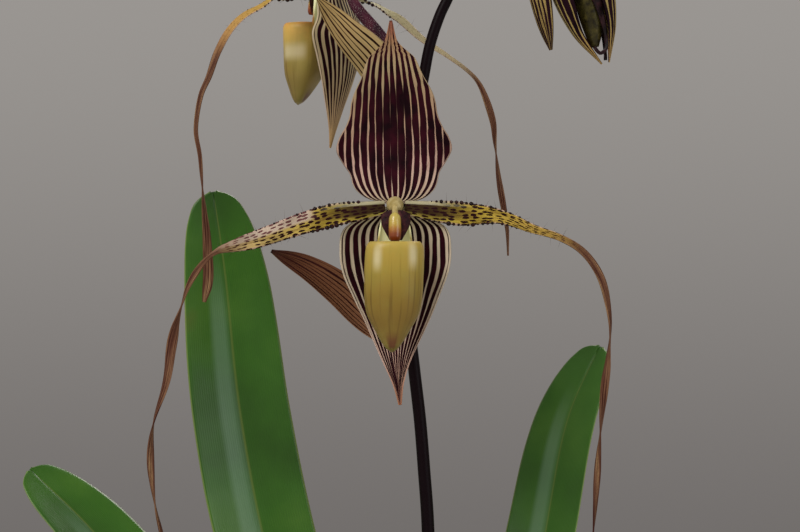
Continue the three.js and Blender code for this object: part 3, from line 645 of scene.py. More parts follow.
# %% Sepals
def upper_sepal():
    """The upper sepal as a blade in its flower's frame."""
    hood = through([(0, 0), (0.2, 3), (0.5, 5.4), (0.85, 1.6), (1, 0)])
    turned_back = through([(0, 0), (0.12, 6), (0.25, 19.5), (0.4, 10), (0.6, 3), (1, 0)])

    def relief(u, v):
        pleats = 0.12 * np.cos(math.pi * 15 * u) * np.sin(math.pi * v)
        return hood(v) * u * u - turned_back(v) * np.maximum(0, np.abs(u) - 0.55) ** 1.5 + pleats

    path = [(0, SEPAL_SEAT, 0.5), (0, SEPAL_SEAT + 0.4, 6), (-0.3, SEPAL_SEAT + 3, 20),
            (-0.6, SEPAL_SEAT + 3.6, 36), (-1.4, SEPAL_SEAT + 1, 54), (-1.5, SEPAL_SEAT - 1.5, 66.6)]
    width = [(0, 3.2), (0.025, 9.6), (0.065, 13.5), (0.105, 15.2), (0.175, 16.4), (0.24, 19), (0.3, 21),
             (0.36, 20), (0.42, 17.6), (0.48, 16), (0.56, 15.2), (0.62, 13.9), (0.7, 11.2), (0.8, 8.4),
             (0.845, 5.2), (0.885, 2.6), (0.93, 1.5), (1, TIP)]
    return Blade(path, FACE_FRONT, width, relief)


def lower_sepal(breadth):
    """The lower sepal as a blade in its flower's frame, broader past its middle as breadth grows."""
    hollow = through([(0, 0), (0.1, 2.4), (0.35, 6.5), (0.7, 4), (1, 0.2)])

    def relief(u, v):
        return hollow(v) * u * u + 0.12 * np.cos(math.pi * 14 * u) * np.sin(math.pi * v)

    path = [(0, SEPAL_SEAT, -0.5), (0, SEPAL_SEAT + 0.6, -6), (0.2, SEPAL_SEAT + 5, -20),
            (0.6, SEPAL_SEAT + 4.5, -38), (0.6, SEPAL_SEAT, -56), (1.8, SEPAL_SEAT - 4, -72)]
    width = [(0, 3.2), (0.05, 12), (0.1, 18.6), (0.2, 20.2), (0.33, 19.2 * breadth),
             (0.47, 15.4 * breadth), (0.64, 10.2 * breadth), (0.8, 4.8 * breadth), (0.9, 2 * breadth),
             (1, TIP)]
    return Blade(path, FACE_FRONT, width, relief)


SEPAL_ENVELOPE = through([(0, 3.2), (0.025, 9.6), (0.065, 13.2), (0.12, 15.5), (0.2, 16.8), (0.35, 17),
                          (0.5, 16.4), (0.65, 15), (0.8, 12), (0.86, 9.5), (0.93, 5.5), (1, 2.4)])
for label, flower, breadth in (("flower_1", FIRST_FLOWER, 1), ("flower_2", SECOND_FLOWER, 1.25)):
    for kind, blade, finish, slot in (("dorsal_sepal", upper_sepal(), UPPER_SEPAL, "dorsal_sepal"),
                                      ("synsepal", lower_sepal(breadth), LOWER_SEPAL, "synsepal")):
        rings, across_map, along_map, marks = blade.rings(*SEPAL_FACES, SEPAL_THICKNESS)
        spread = blade.width(along_map) / SEPAL_ENVELOPE(along_map)
        marks["stripe"] = np.outer(spread, 2 * across_map[:rings.shape[1]] - 1)
        piece = skin(f"{label}_{kind}_skin", in_flower(rings, flower), across_map, along_map, finish,
                     marks=marks)
        settle(piece, slot, f"{label}_{kind}")

# %% [markdown]
# ## Petal finish
# Near the flower a petal is yellow with rows of dark maroon dashes and a darker band mixed in at its foot.
# Past its last wave it becomes a rusty brown ribbon with straw-coloured stretches. The dashes are cells of a
# Voronoi pattern in the petal's own map, drawn long by counting many more of them along than across.


# %% Petal finish
def petal_material(name, length, tail_from, pale_band, up, ground, faded, dashed):
    """Yellow with dashes near the foot and a brown tail. Pale_band is where along the petal its
    upper half fades to a whitish pink, as a pair of places. Up is 1 or -1, the map's side that is
    uppermost, and dashed is the size of the dashes."""
    material, tree, shader = new_material(name, 0.62, specular=0.08)
    across, along, where = blade_map(tree)
    across = product(tree, across, up)
    cells = add_node(tree, "ShaderNodeTexVoronoi",
                     {"Vector": stretched(tree, where, (6.5, length / 3.4, 1.0)), "Scale": 1.0,
                      "Randomness": 0.6}, voronoi_dimensions="2D")
    uneven = noise(tree, stretched(tree, where, (14.0, length / 2.0, 1.0)), 1.0, 2.0)
    size = level_curve(tree, along, [(0, 0.36), (0.08, 0.4), (0.2, 0.38), (tail_from, 0.3), (1, 0.2)])
    size = sum_up(tree, "MULTIPLY_ADD", sum_up(tree, "SUBTRACT", uneven, 0.5), 0.5, size)
    size = product(tree, size, dashed)
    low = sum_up(tree, "SUBTRACT", size, 0.1)
    dashes = fall_between(tree, cells.outputs["Distance"], low, size)
    yellow = grade(tree, along, [(0.0, "9c9448"), (0.04, "9c8c3a"), (0.12, ground), (tail_from, faded)])
    streaks = noise(tree, stretched(tree, where, (22.0, length / 14.0, 1.0)), 1.0, 2.0)
    streaks = product(tree, step_between(tree, streaks, 0.48, 0.66), 0.65 * dashed)
    yellow = blend_colours(tree, streaks, yellow, paint("6e4a24"))
    upper = step_between(tree, across, -0.1, 0.3)
    begins = step_between(tree, along, pale_band[0], pale_band[0] + 0.02)
    ends = fall_between(tree, along, pale_band[1], pale_band[1] + 0.05)
    band = product(tree, upper, product(tree, begins, ends))
    yellow = blend_colours(tree, band, yellow, paint("c6b29e"))
    dark = blend_colours(tree, band, paint("270a0c"), paint("6e4344"))
    from_middle = sum_up(tree, "ABSOLUTE", across)
    yellow = tint(tree, yellow, "c9a999", step_between(tree, from_middle, 0.8, 0.92), 0.8)
    spotted = blend_colours(tree, dashes, yellow, dark)
    near_foot = fall_between(tree, along, 0.05, 0.17)
    band_place = sum_up(tree, "ABSOLUTE", sum_up(tree, "SUBTRACT", across, 0.05))
    dark_band = fall_between(tree, band_place, 0.4, 0.75)
    dark_band = product(tree, dark_band, near_foot, 0.92)
    spotted = blend_colours(tree, dark_band, spotted, paint("270a10"))
    pale_edge = product(tree, step_between(tree, across, 0.5, 0.62),
                        fall_between(tree, along, 0.035, 0.14))
    spotted = tint(tree, spotted, "b9b292", pale_edge, 0.85)
    stretches = noise(tree, stretched(tree, where, (1.5, length / 26.0, 1.0)), 1.0, 3.0)
    tail = grade(tree, stretches, [(0.3, "4a2a20"), (0.45, "684634"), (0.58, "866348"), (0.7, "a2835c")])
    fine = noise(tree, stretched(tree, where, (14.0, length / 22.0, 1.0)), 1.0, 3.0)
    tail = blend_colours(tree, step_between(tree, fine, 0.46, 0.6), tail, paint("3f1c16"))
    far = step_between(tree, along, tail_from - 0.08, tail_from + 0.03)
    tree.links.new(blend_colours(tree, far, spotted, tail), shader.inputs["Base Color"])
    set_bump(tree, shader, sum_up(tree, "ADD", dashes, fine), 0.25, 0.0003)
    return material


# %% [markdown]
# ## Petals
# A petal is a waved strap that turns into a long ribbon. It twists about its own line as it hangs, so its
# outline narrows where it is seen on edge and widens between. The twist is a curve in degrees along the
# petal. The second flower's petals are drawn straight in the plant's frame, because they part widely.

# %% Petal forms
FIRST_LEFT_PETAL = {
    "path": in_flower([
        (-3.5, 0.6, -1), (-21.6, -0.5, -3.6), (-33.5, -1.5, -6.8), (-46.8, -2.5, -11.5),
        (-56.9, -3.5, -14.6), (-63.5, -4, -16.6), (-68.4, -4.5, -20.5), (-73.8, -5, -28.8),
        (-76.3, -5.5, -36), (-79.2, -6, -46.8), (-82, -7, -64.8), (-86, -7, -77), (-87.3, -7, -88),
        (-86.8, -7, -99), (-85.3, -6.5, -109.8), (-83.5, -6, -118), (-80.5, -5, -134),
    ], FIRST_FLOWER),
    "facing": [(0, -1, 0.1), (0, -1, 0.1)],
    "width": [(0, 2.6), (0.1, 4.1), (0.2, 3.6), (0.27, 3), (0.315, 1.8), (0.345, 0.9), (0.37, 1),
              (0.4, 1.35), (0.46, 1.3), (0.54, 1.9), (0.7, 1.5), (0.85, 1.2), (1, 0.6)],
    "wave": 1.1,
    "wave_end": 0.38,
    "twist": [(0, 0), (0.36, 0), (0.46, 80), (0.54, 180), (0.68, 250), (0.76, 340), (0.86, 450),
              (1, 560)],
}
FIRST_RIGHT_PETAL = {
    "path": in_flower([
        (3.5, 0.6, -1), (23.4, -0.5, -3.2), (37.8, -1, -4.2), (48.6, -2, -8.3), (59.4, -3, -11.9),
        (66.6, -4, -16.2), (72, -4.5, -22.7), (75.2, -5, -30.6), (77, -6, -44.6), (76.1, -6.5, -55.8),
        (74.8, -7, -65.9), (73.3, -7, -82.4), (72.4, -7, -94.7), (71.6, -6.5, -107.3),
        (70.9, -6, -117.7), (70, -5, -134),
    ], FIRST_FLOWER),
    "facing": [(0, -1, 0.1), (0, -1, 0.1)],
    "width": [(0, 2.6), (0.1, 4.3), (0.15, 3.5), (0.19, 2.5), (0.23, 2), (0.27, 1.5), (0.31, 1.3),
              (0.43, 1.4), (0.5, 1.2), (0.62, 1.5), (0.78, 1.3), (0.9, 1), (1, 0.6)],
    "wave": 1.1,
    "wave_end": 0.3,
    "twist": [(0, 0), (0.4, 10), (0.52, -70), (0.63, -180), (0.72, -265), (0.8, -350), (0.9, -440),
              (1, -540)],
}
SECOND_LEFT_PETAL = {
    "path": [
        in_second(4.1, 0.4, 0), (-45.6, 9, 509.4), (-56.2, 2, 507.6), (-63, -3, 503.5),
        (-69.1, -6, 499.5), (-73.7, -8, 494.2), (-77.7, -9, 486.8), (-80.9, -10, 477.5),
        (-83.8, -10, 470.6), (-85.7, -10, 458.1), (-84.2, -10, 447.9), (-83.1, -10, 433.6),
        (-81.6, -10, 416.4), (-81.3, -10, 402.5), (-82.7, -10, 394.8),
    ],
    "facing": [(-0.6, 0.4, 0.6), (-0.15, -0.9, 0.4), (0.3, -0.9, 0.1), (0.3, -0.9, 0)],
    "width": [(0, 2.2), (0.12, 3), (0.2, 1.9), (0.38, 1.45), (0.5, 1), (0.62, 0.9), (0.75, 1.2),
              (0.9, 1.9), (0.96, 1.8), (1, 0.7)],
    "wave": 0.7,
    "wave_end": 0.26,
    "twist": [(0, 0), (0.5, 10), (0.66, 60), (0.8, 160), (1, 200)],
}
SECOND_RIGHT_PETAL = {
    "path": [
        in_second(-4.1, 0.6, 0), in_second(-16, -1.5, -1), (-24.1, 36, 509.9), (-16.6, 40, 506.4),
        (-11, 42, 503.4), (-2.8, 44, 496.3), (6.8, 44, 489.8), (14.6, 46, 484.4), (19.3, 47, 479.6),
        (22.6, 47, 472.5), (25.2, 47, 463.5), (26, 47, 455), (27.5, 47, 441.4), (29, 47, 432.5),
        (30.6, 47, 422.4), (31, 47, 412),
    ],
    "facing": [(-0.5, 0.2, 0.6), (0, -0.8, 0.5), (0.2, -0.9, 0.2), (-0.2, -0.9, 0)],
    "width": [(0, 2.2), (0.12, 2.8), (0.25, 2), (0.38, 1.1), (0.5, 0.8), (0.6, 1.4), (0.75, 1.4),
              (0.9, 1.1), (1, 0.7)],
    "wave": 0.7,
    "wave_end": 0.26,
    "twist": [(0, 0), (0.45, 10), (0.62, 40), (0.75, 120), (0.88, 200), (1, 250)],
}
PETAL_WAVES = 11


def petal_blade(form):
    """A petal's blade, waved near the flower."""
    wave, end = form["wave"], form["wave_end"]
    height = through([(0, 0), (0.08, wave), (end - 0.12, wave), (end, 0), (1, 0)])

    def relief(u, v):
        ripple = np.sin(2 * math.pi * PETAL_WAVES * v + 1.3 * np.sign(u))
        return height(v) * u * np.abs(u) * ripple

    return Blade(form["path"], form["facing"], form["width"], relief, form["twist"])


PETALS = {
    "flower_1_left_petal": (FIRST_LEFT_PETAL, 0.33, (0.13, 0.36), 1, "b89f3c", "c2a878", 1.0),
    "flower_1_right_petal": (FIRST_RIGHT_PETAL, 0.34, (2.0, 3.0), -1, "b89f3c", "bf9c50", 1.0),
    "flower_2_left_petal": (SECOND_LEFT_PETAL, 0.38, (2.0, 3.0), 1, "c6a648", "b98a58", 0.45),
    "flower_2_right_petal": (SECOND_RIGHT_PETAL, 0.5, (2.0, 3.0), -1, "d0c89c", "b8a684", 0.4),
}
petal_blades = {}
for name, (form, *look) in PETALS.items():
    blade = petal_blade(form)
    petal_blades[name] = blade
    finish = petal_material(f"{name}_dashes", blade.line.length, *look)
    rings, across_map, along_map, marks = blade.rings(*PETAL_FACES, PETAL_THICKNESS)
    piece = skin(f"{name}_skin", rings, across_map, along_map, finish, marks=marks)
    settle(piece, "petal", name)
    print(name, "is", round(blade.line.length), "mm long")

# %% [markdown]
# ## Pouches
# The pouch is a slipper, hollow and open above. Its back wall rises to the column as a pale tongue, and its
# rim is a rounded lip. It is waxy yellow, warmer at the rim, with faint olive veins that gather towards a
# maroon point at the toe. Its soft highlights and the glow of the tongue are painted light.


# %% Pouch finish
def pouch_material(name, stops, painted_highlight_spots):
    """Waxy yellow that reads the pouch's height, its rise at the back and its map. Stops are its colours
    from toe to rim. The highlight spots are painted: soft pale spots that stand in for light on the wax,
    each given by its place across the front from -1 to 1, its height, and its half height."""
    material, tree, shader = new_material(name, 0.45, coat=0.08, specular=0.3, subsurface=0.1)
    _, _, where = blade_map(tree)
    level = piece_value(tree, "level")
    rise = piece_value(tree, "rise")
    middle = piece_value(tree, "middle")
    side = piece_value(tree, "side")
    ground = grade(tree, level, stops)
    cloud = noise(tree, object_place(tree), 150.0, 3.0)
    ground = tint(tree, ground, "a49c48", step_between(tree, cloud, 0.4, 0.75), 0.4)
    veins = noise(tree, stretched(tree, where, (46.0, 1.6, 1.0)), 1.0, 2.0)
    veins = step_between(tree, veins, 0.5, 0.66)
    low_front = level_curve(tree, level, [(0, 0.1), (0.12, 0.6), (0.35, 0.9), (0.6, 0.6), (0.8, 0.2),
                                          (1, 0)])
    veined = product(tree, veins, low_front, middle)
    ground = tint(tree, ground, "5e4a1c", veined, 0.8)
    shadow = product(tree, low_front, middle, 0.6)
    ground = blend_colours(tree, shadow, ground, paint("74541a"))
    toe = product(tree, step_between(tree, level, 0.02, 0.06), fall_between(tree, level, 0.08, 0.22))
    narrow = fall_between(tree, sum_up(tree, "ABSOLUTE", side), 0.15, 0.5)
    ground = blend_colours(tree, product(tree, toe, product(tree, narrow, 0.75)), ground, paint("64261a"))
    # Each spot is a painted highlight, pale colour where light would shine off the wax.
    for place, height, reach in painted_highlight_spots:
        away = sum_up(tree, "ABSOLUTE", sum_up(tree, "SUBTRACT", side, place))
        beside = fall_between(tree, away, 0.02, 0.24)
        off = sum_up(tree, "ABSOLUTE", sum_up(tree, "SUBTRACT", level, height))
        near = fall_between(tree, off, 0.1 * reach, reach)
        painted_highlight_mask = product(tree, beside, near)
        ground = tint(tree, ground, "dccfa2", painted_highlight_mask, 0.8)
    # The pale back wall is cream, and a glow is painted onto it by emission, which lifts it out of the
    # column's shade.
    cream_ear_and_glow = step_between(tree, rise, 0.1, 0.5)
    ground = blend_colours(tree, cream_ear_and_glow, ground, paint("e6e2b4"))
    tree.links.new(ground, shader.inputs["Base Color"])
    tree.links.new(blend_colours(tree, cream_ear_and_glow, paint("000000"), paint("8a8a5c")),
                   shader.inputs["Emission Color"])
    shader.inputs["Emission Strength"].default_value = 0.6
    set_bump(tree, shader, veins, 0.12, 0.0003)
    return material


# The last list of each pouch places its painted highlights.
POUCH_FINISHES = (
    pouch_material("waxy_yellow_pouch",
                   [(0.0, "6e6030"), (0.1, "8a7733"), (0.3, "947c30"), (0.5, "a08836"), (0.75, "b29a40"),
                    (0.93, "bda046"), (1.0, "c4a850")], [(-0.5, 0.86, 0.17), (0.56, 0.88, 0.17)]),
    # The second pouch is a warmer orange, and its colours are also painted lighter to stand in for light
    # where it sits in shade.
    pouch_material("waxy_orange_pouch_painted_lighter",
                   [(0.0, "8c7a40"), (0.25, "a8944a"), (0.5, "b8a458"), (0.75, "cfb25c"), (0.93, "dcb25a"),
                    (1.0, "d89a4a")], [(0.96, 0.64, 0.15)]),
)
print("finishes:", [finish.name for finish in POUCH_FINISHES])

# %% Pouch form
POUCH_WALL = 0.9
POUCH_TIP = -52.6
POUCH_TIP_SHIFT = -1.1
POUCH_EAR_TOP = -4
POUCH_SQUARENESS = 0.8
POUCH_LIP = 1.8
POUCH_SIDES = 96
FIRST_POUCH = (-13.3, 1)
SECOND_POUCH = (-16.8, 0.87)
pouch_half_width = through([(0, 0.8), (0.06, 2.9), (0.17, 5.6), (0.376, 9.6), (0.7, 10.5), (0.93, 10.3),
                            (1, 9.5)])
pouch_half_depth = through([(0, 0.8), (0.06, 2.8), (0.17, 5.2), (0.376, 8.4), (0.7, 9.8), (0.93, 10.3),
                            (1, 9.9)])
pouch_middle = through([(0, -18), (0.3, -16.2), (0.7, -15.2), (1, -15)])


def squared(value):
    """Pushes a sine towards its ends, for a section between round and square."""
    return np.sign(value) * np.abs(value) ** POUCH_SQUARENESS


def pouch_ring(form, h, inset, lift):
    """A ring round the pouch at height h, from 0 at the toe to 1 at the rim."""
    rim, depth = form
    angle = np.linspace(0, 2 * math.pi, POUCH_SIDES, endpoint=False)
    back = np.clip((-np.cos(angle) - 0.8) / 0.1, 0, 1)
    back = back * back * (3 - 2 * back)
    half_depth = pouch_half_depth(h) * depth
    middle = pouch_middle(h) + pouch_half_depth(h) - half_depth
    x = POUCH_TIP_SHIFT * (1 - h) + (pouch_half_width(h) - inset) * squared(np.sin(angle))
    y = middle - (half_depth - inset) * squared(np.cos(angle))
    z = (POUCH_TIP + lift) * (1 - h) + rim * h + (POUCH_EAR_TOP - rim) * back * h ** 5
    return np.stack([x, y, z], -1), back * h ** 5, np.clip(0.5 + 0.9 * np.cos(angle), 0, 1), np.sin(angle)


def pouch_rings(form):
    """All rings from the toe up the outside, over the rounded lip and down the inside."""
    tall = form[0] - POUCH_TIP
    straight = 1 - POUCH_LIP / tall
    outside = [(h, 0.0, 0.0) for h in straight * np.linspace(0.02, 1, 46) ** 0.85]
    turn = np.linspace(0, math.pi / 2, 7)[1:]
    lip = [(straight + (1 - straight) * math.sin(t), 0.5 * POUCH_LIP * (1 - math.cos(t)), 0.0) for t in turn]
    inside = [(h, POUCH_WALL + 0.3 * max(0, h - straight) / (1 - straight), POUCH_WALL)
              for h in np.linspace(0.985, 0.13, 26)]
    rows = [pouch_ring(form, *row) for row in outside + lip + inside]
    level = np.array([row[0] for row in outside + lip + inside])
    tip = (POUCH_TIP_SHIFT, float(pouch_middle(0)), POUCH_TIP)
    floor = (POUCH_TIP_SHIFT, float(pouch_middle(0.1)), POUCH_TIP + 4.3)
    marks = {name: np.stack([row[k] for row in rows])
             for k, name in ((1, "rise"), (2, "middle"), (3, "side"))}
    marks["level"] = np.repeat(level[:, None], POUCH_SIDES, 1)
    return np.stack([row[0] for row in rows]), np.linspace(0, 1, len(rows)), (tip, floor), marks


for label, flower, form, finish in (("flower_1", FIRST_FLOWER, FIRST_POUCH, POUCH_FINISHES[0]),
                                    ("flower_2", SECOND_FLOWER, SECOND_POUCH, POUCH_FINISHES[1])):
    rings, along_map, poles, marks = pouch_rings(form)
    piece = skin(f"{label}_pouch_skin", in_flower(rings, flower), np.linspace(0, 1, POUCH_SIDES + 1),
                 along_map, finish, poles=in_flower(poles, flower), marks=marks)
    settle(piece, "pouch", f"{label}_pouch")

# %% [markdown]
# ## Columns
# In the middle of the flower a stout cream column carries a shield. Its centre is a yellow finger that
# turns deep red-brown where it hangs into the pouch, and its sides are dark and hairy.


# %% Column finishes
def simple_material(name, stops, scale, roughness, bump=0.2, coat=0.0, stretch=(1.0, 1.0, 1.0),
                    specular=0.2):
    """A finish whose colours come from one noise through a ramp."""
    material, tree, shader = new_material(name, roughness, coat=coat, specular=specular)
    where = stretched(tree, object_place(tree), stretch)
    value = noise(tree, where, scale, 4.0)
    tree.links.new(grade(tree, value, stops), shader.inputs["Base Color"])
    set_bump(tree, shader, value, bump, 0.0004)
    return material


def finger_material():
    """Yellow above and red-brown below, along the finger's own map."""
    material, tree, shader = new_material("yellow_finger", 0.3, coat=0.3, subsurface=0.1)
    _, along, where = blade_map(tree)
    uneven = noise(tree, stretched(tree, where, (6.0, 9.0, 1.0)), 1.0)
    place = sum_up(tree, "MULTIPLY_ADD", uneven, 0.16, sum_up(tree, "SUBTRACT", along, 0.08))
    colour = grade(tree, place, [(0.0, "c8b862"), (0.42, "c8a848"), (0.6, "b67a34"), (0.76, "94481c"),
                                 (1.0, "7a2e12")])
    tree.links.new(colour, shader.inputs["Base Color"])
    return material


CREAM_COLUMN = simple_material("cream_column", [(0.3, "a08a4c"), (0.5, "b8a46c"), (0.65, "c9b884")],
                               420.0, 0.5)
DARK_SHIELD = simple_material("dark_shield", [(0.35, "220810"), (0.6, "40151c"), (0.75, "7a4a3c")],
                              700.0, 0.6, bump=0.5)
FINGER_FINISH = finger_material()
HAIR_FINISH = simple_material("dark_hair", [(0.4, "2a1512"), (0.6, "4a2a22")], 200.0, 0.6)
PALE_HAIR_FINISH = simple_material("pale_hair", [(0.4, "b7a79c"), (0.6, "d8cdc4")], 200.0, 0.6)
WART_FINISH = simple_material("dark_wart", [(0.4, "140508"), (0.65, "34100f")], 500.0, 0.45)
print("finishes of the column, its hairs and the warts")


# %% Joining pieces
def join_pieces(name, parts):
    """One object made of several closed meshes, each with its own material."""
    bpy.ops.object.select_all(action="DESELECT")
    for part in parts:
        part.select_set(True)
    bpy.context.view_layer.objects.active = parts[0]
    bpy.ops.object.join()
    parts[0].name = name
    parts[0].data.name = name
    return parts[0]


# %% Column form
COLUMN_RADIUS = 3.1
COLUMN_NECK_RADIUS = 1.15
SHIELD_THICKNESS = 1.1


def rod_piece(name, path, radius, sides, along, material, flower=None, **form):
    """A round rod as a closed object."""
    rings, across_map, along_map, poles = rod_rings(path, radius, sides, along, **form)
    if flower:
        rings, poles = in_flower(rings, flower), in_flower(poles, flower)
    return skin(name, rings, across_map, along_map, material, poles=poles)


def shield_blade():
    """The shield behind the finger, wide above and narrow below."""
    width = [(0, 2.8), (0.1, 4.8), (0.25, 5.3), (0.5, 5), (0.7, 4), (0.9, 2.8), (1, 2.2)]
    return Blade([(0.3, -7.6, -2.2), (0.3, -8.6, -7), (0.3, -9, -12.8)], FACE_FRONT, width,
                 lambda u, v: 0.25 * np.sin(math.pi * np.abs(u)) * np.sin(math.pi * v))


for label, flower in (("flower_1", FIRST_FLOWER), ("flower_2", SECOND_FLOWER)):
    post = rod_piece("post", [(0, COLUMN_BACK, 0), (0, -3, 0), (0, -7.2, -1)],
                     lambda v: COLUMN_RADIUS * (1 - 0.32 * v * v), 40, 24, CREAM_COLUMN, flower)
    neck = rod_piece("neck", [(0, -5.6, -0.4), (0, -7.4, -1.8), (0, -8.6, -4.4)],
                     lambda v: COLUMN_NECK_RADIUS + 0 * v, 24, 12, CREAM_COLUMN, flower)
    finger = rod_piece("finger", [(0, -8.3, -3.2), (0, -9.2, -6), (0, -9.8, -9.5), (0, -10.3, -13.2)],
                       through([(0, 1), (0.1, 1.8), (0.22, 2.15), (0.85, 2.15), (1, 1.5)]), 28, 40,
                       FINGER_FINISH, flower)
    rings, across_map, along_map, marks = shield_blade().rings(24, 24, SHIELD_THICKNESS)
    shield = skin("shield", in_flower(rings, flower), across_map, along_map, DARK_SHIELD, marks=marks)
    settle(join_pieces(f"{label}_column_dressed", [post, neck, finger, shield]), "column", f"{label}_column")

# %% [markdown]
# ## Ovaries, stem and bracts
# Each flower sits on an ovary, a ribbed purple tube with a bloom of short pale hairs, and each ovary comes
# out of a pointed bract that clasps it. The stem is nearly black with a faint gloss.

# %% Stem and ovary
OVARY_RADIUS = 2.3
OVARY_RIBS = 6
OVARY_RIB_HEIGHT = 0.12
STEM_FOOT_RADIUS = 2.8
STEM_TOP_RADIUS = 1.9
STEM_PATH = [
    (0, 0, 110.3), (0, 0, 150), (-0.2, 0, 230), (-0.6, 0, 309.6), (-2.1, 0, 332.5), (-3.6, 0, 351),
    (-5.6, 0, 368.4), (-7.7, 0, 388), (-8.4, 0, 410.2), (-7.7, 0, 432.4), (-5.8, 0, 458.3),
    (-2.1, 0, 478.7), (0.1, 0, 489.8), (3.8, 0, 500.9), (6.4, 0, 506.4), (10.5, 0, 515.7),
    (16.8, 0, 526.8), (24.9, 0, 536.8), (33.4, 0, 543.4),
]
BUD_BASE = np.array([51.2, 0, 536.8])
BUD_TIP = np.array([65.2, 0, 483.1])
BUD_AXIS = BUD_TIP - BUD_BASE
BUD_OUT = unit(np.array([-BUD_AXIS[2], 0, BUD_AXIS[0]]))


def bud_point(along, out, y):
    """A point by its share of the bud's length, its distance out of the bud's line, and y."""
    return tuple(BUD_BASE + BUD_AXIS * along + BUD_OUT * out + np.array([0, y, 0]))


def stem_radius(v):
    return STEM_FOOT_RADIUS + (STEM_TOP_RADIUS - STEM_FOOT_RADIUS) * v


def ovary_radius(v):
    return OVARY_RADIUS * (0.72 + 0.28 * np.sin(math.pi * np.minimum(1, 1.1 * v)))


OVARIES = [
    [(-9.5, -2.9, 388), (-10.4, -4.8, 389.6), (-11.8, -8.6, 403), (-12.8, -10.8, 419),
     (-12.8, -14, 429.8), in_first(0, OVARY_SEAT, 0)],
    [(-5.5, 0.8, 474.5), (-8, 1.4, 476.2), (-17.3, 3.4, 492), (-28.6, 8.4, 507),
     in_second(0.4, 9.6, 0.4), in_second(0, OVARY_SEAT, 0)],
    [(34.2, 0, 543.7), (37.6, 0, 545.2), (43, 0, 545.6), (48, 0, 542.6), (50.4, 0, 539.2),
     bud_point(0.021, 0, 0)],
]
STEM_FINISH = simple_material("near_black_stem", [(0.35, "0c0408"), (0.6, "14080c"), (0.8, "201010")],
                              90.0, 0.4, bump=0.15, specular=0.08, stretch=(1.0, 1.0, 0.1))
OVARY_FINISH = simple_material("purple_ovary", [(0.35, "2a0f1c"), (0.6, "46192b"), (0.8, "603038")],
                               220.0, 0.6, stretch=(1.0, 1.0, 0.3))
stem = rod_piece("flower_stem_skin", STEM_PATH, stem_radius, 28, 240, STEM_FINISH)
settle(stem, "stem", "flower_stem")
ovary_pieces = []
for number, path in enumerate(OVARIES, 1):
    ovary_pieces.append(rod_piece(f"ovary_{number}_skin", path, ovary_radius, 48, 60, OVARY_FINISH,
                                  ribs=OVARY_RIBS, rib_height=OVARY_RIB_HEIGHT))


# %% Bracts
BRACT_THICKNESS = 0.6
BRACT_FACES = (48, 60)
BRACTS = [
    {"path": [(-11.2, -0.9, 379.6), (-17, -2.4, 382.8), (-35, -2, 399), (-46, -1.5, 407),
              (-58.6, -1, 413.5)],
     "face": (0.3, -0.9, 0.35), "width": 7.4, "depth": 4.5},
    {"path": [(-8.6, -2.3, 466.5), (-12.8, -4.5, 471), (-22, -7.6, 483.4), (-31.2, -9.6, 493.4),
              (-41.2, -10.5, 505.9)],
     "face": (0.35, 0.9, 0.35), "width": 8.2, "depth": 3},
    {"path": [(31.2, -3.2, 539.6), (32.9, -4.2, 533.4), (36.2, -5, 521), (39.8, -5, 506.4),
              (44.6, -3.4, 487.6)],
     "face": (0.85, 0.5, 0.2), "tip_face": (0.3, 0.9, 0.1), "width": 5.8, "depth": 3},
]
BRACT_FINISHES = [
    sepal_material("brown_bract_lines", 9,
                   ground=[(0.0, "9a6f52"), (0.5, "8a5f42"), (0.8, "5e3a26"), (1.0, "2a1a14")],
                   ink=[(0.35, "2a0f10"), (0.65, "3c1a16")],
                   share=[(0, 0.25), (0.5, 0.28), (1, 0.35)], middle=[(0, 0.22), (0.5, 0.26), (1, 0.4)],
                   rim=0.03, shade=paint("6a4232")),
    sepal_material("tan_bract_lines", 8,
                   ground=[(0.0, "b09060"), (0.4, "b8a07c"), (0.75, "a98a6a"), (1.0, "7a5a40")],
                   ink=[(0.35, "20100c"), (0.65, "381812")],
                   share=[(0, 0.22), (0.5, 0.3), (1, 0.3)], middle=[(0, 0.24), (0.5, 0.34), (1, 0.3)],
                   rim=0.03, shade=paint("a58a68")),
    sepal_material("olive_bract_lines", 6,
                   ground=[(0.0, "7d7242"), (0.5, "8c7c4a"), (0.85, "6c5034"), (1.0, "5a3828")],
                   ink=[(0.35, "180a12"), (0.65, "2a101c")],
                   share=[(0, 0.5), (0.5, 0.6), (1, 0.6)], middle=[(0, 0.5), (0.5, 0.5), (1, 0.6)],
                   rim=0.04, shade=paint("7a6a40")),
]
for number, (form, finish) in enumerate(zip(BRACTS, BRACT_FINISHES), 1):
    hollow = through([(0, form["depth"]), (0.5, 0.8 * form["depth"]), (1, 0.3)])
    width = form["width"]
    blade = Blade(form["path"], [form["face"], form.get("tip_face", form["face"])],
                  [(0, 0.55 * width), (0.25, width), (0.5, 0.94 * width), (0.78, 0.62 * width),
                   (0.9, 0.38 * width), (1, TIP)],
                  lambda u, v, hollow=hollow: hollow(v) * u * u + 0.07 * np.cos(math.pi * 12 * u))
    rings, across_map, along_map, marks = blade.rings(*BRACT_FACES, BRACT_THICKNESS)
    settle(skin(f"bract_{number}_skin", rings, across_map, along_map, finish, marks=marks), "bract",
           f"bract_{number}")

# %% [markdown]
# ## The opening bud
# The third flower nods from the tip of the stem. Its two sepals have parted like a beak, and between them
# the petals are still crumpled beside the folded pouch.

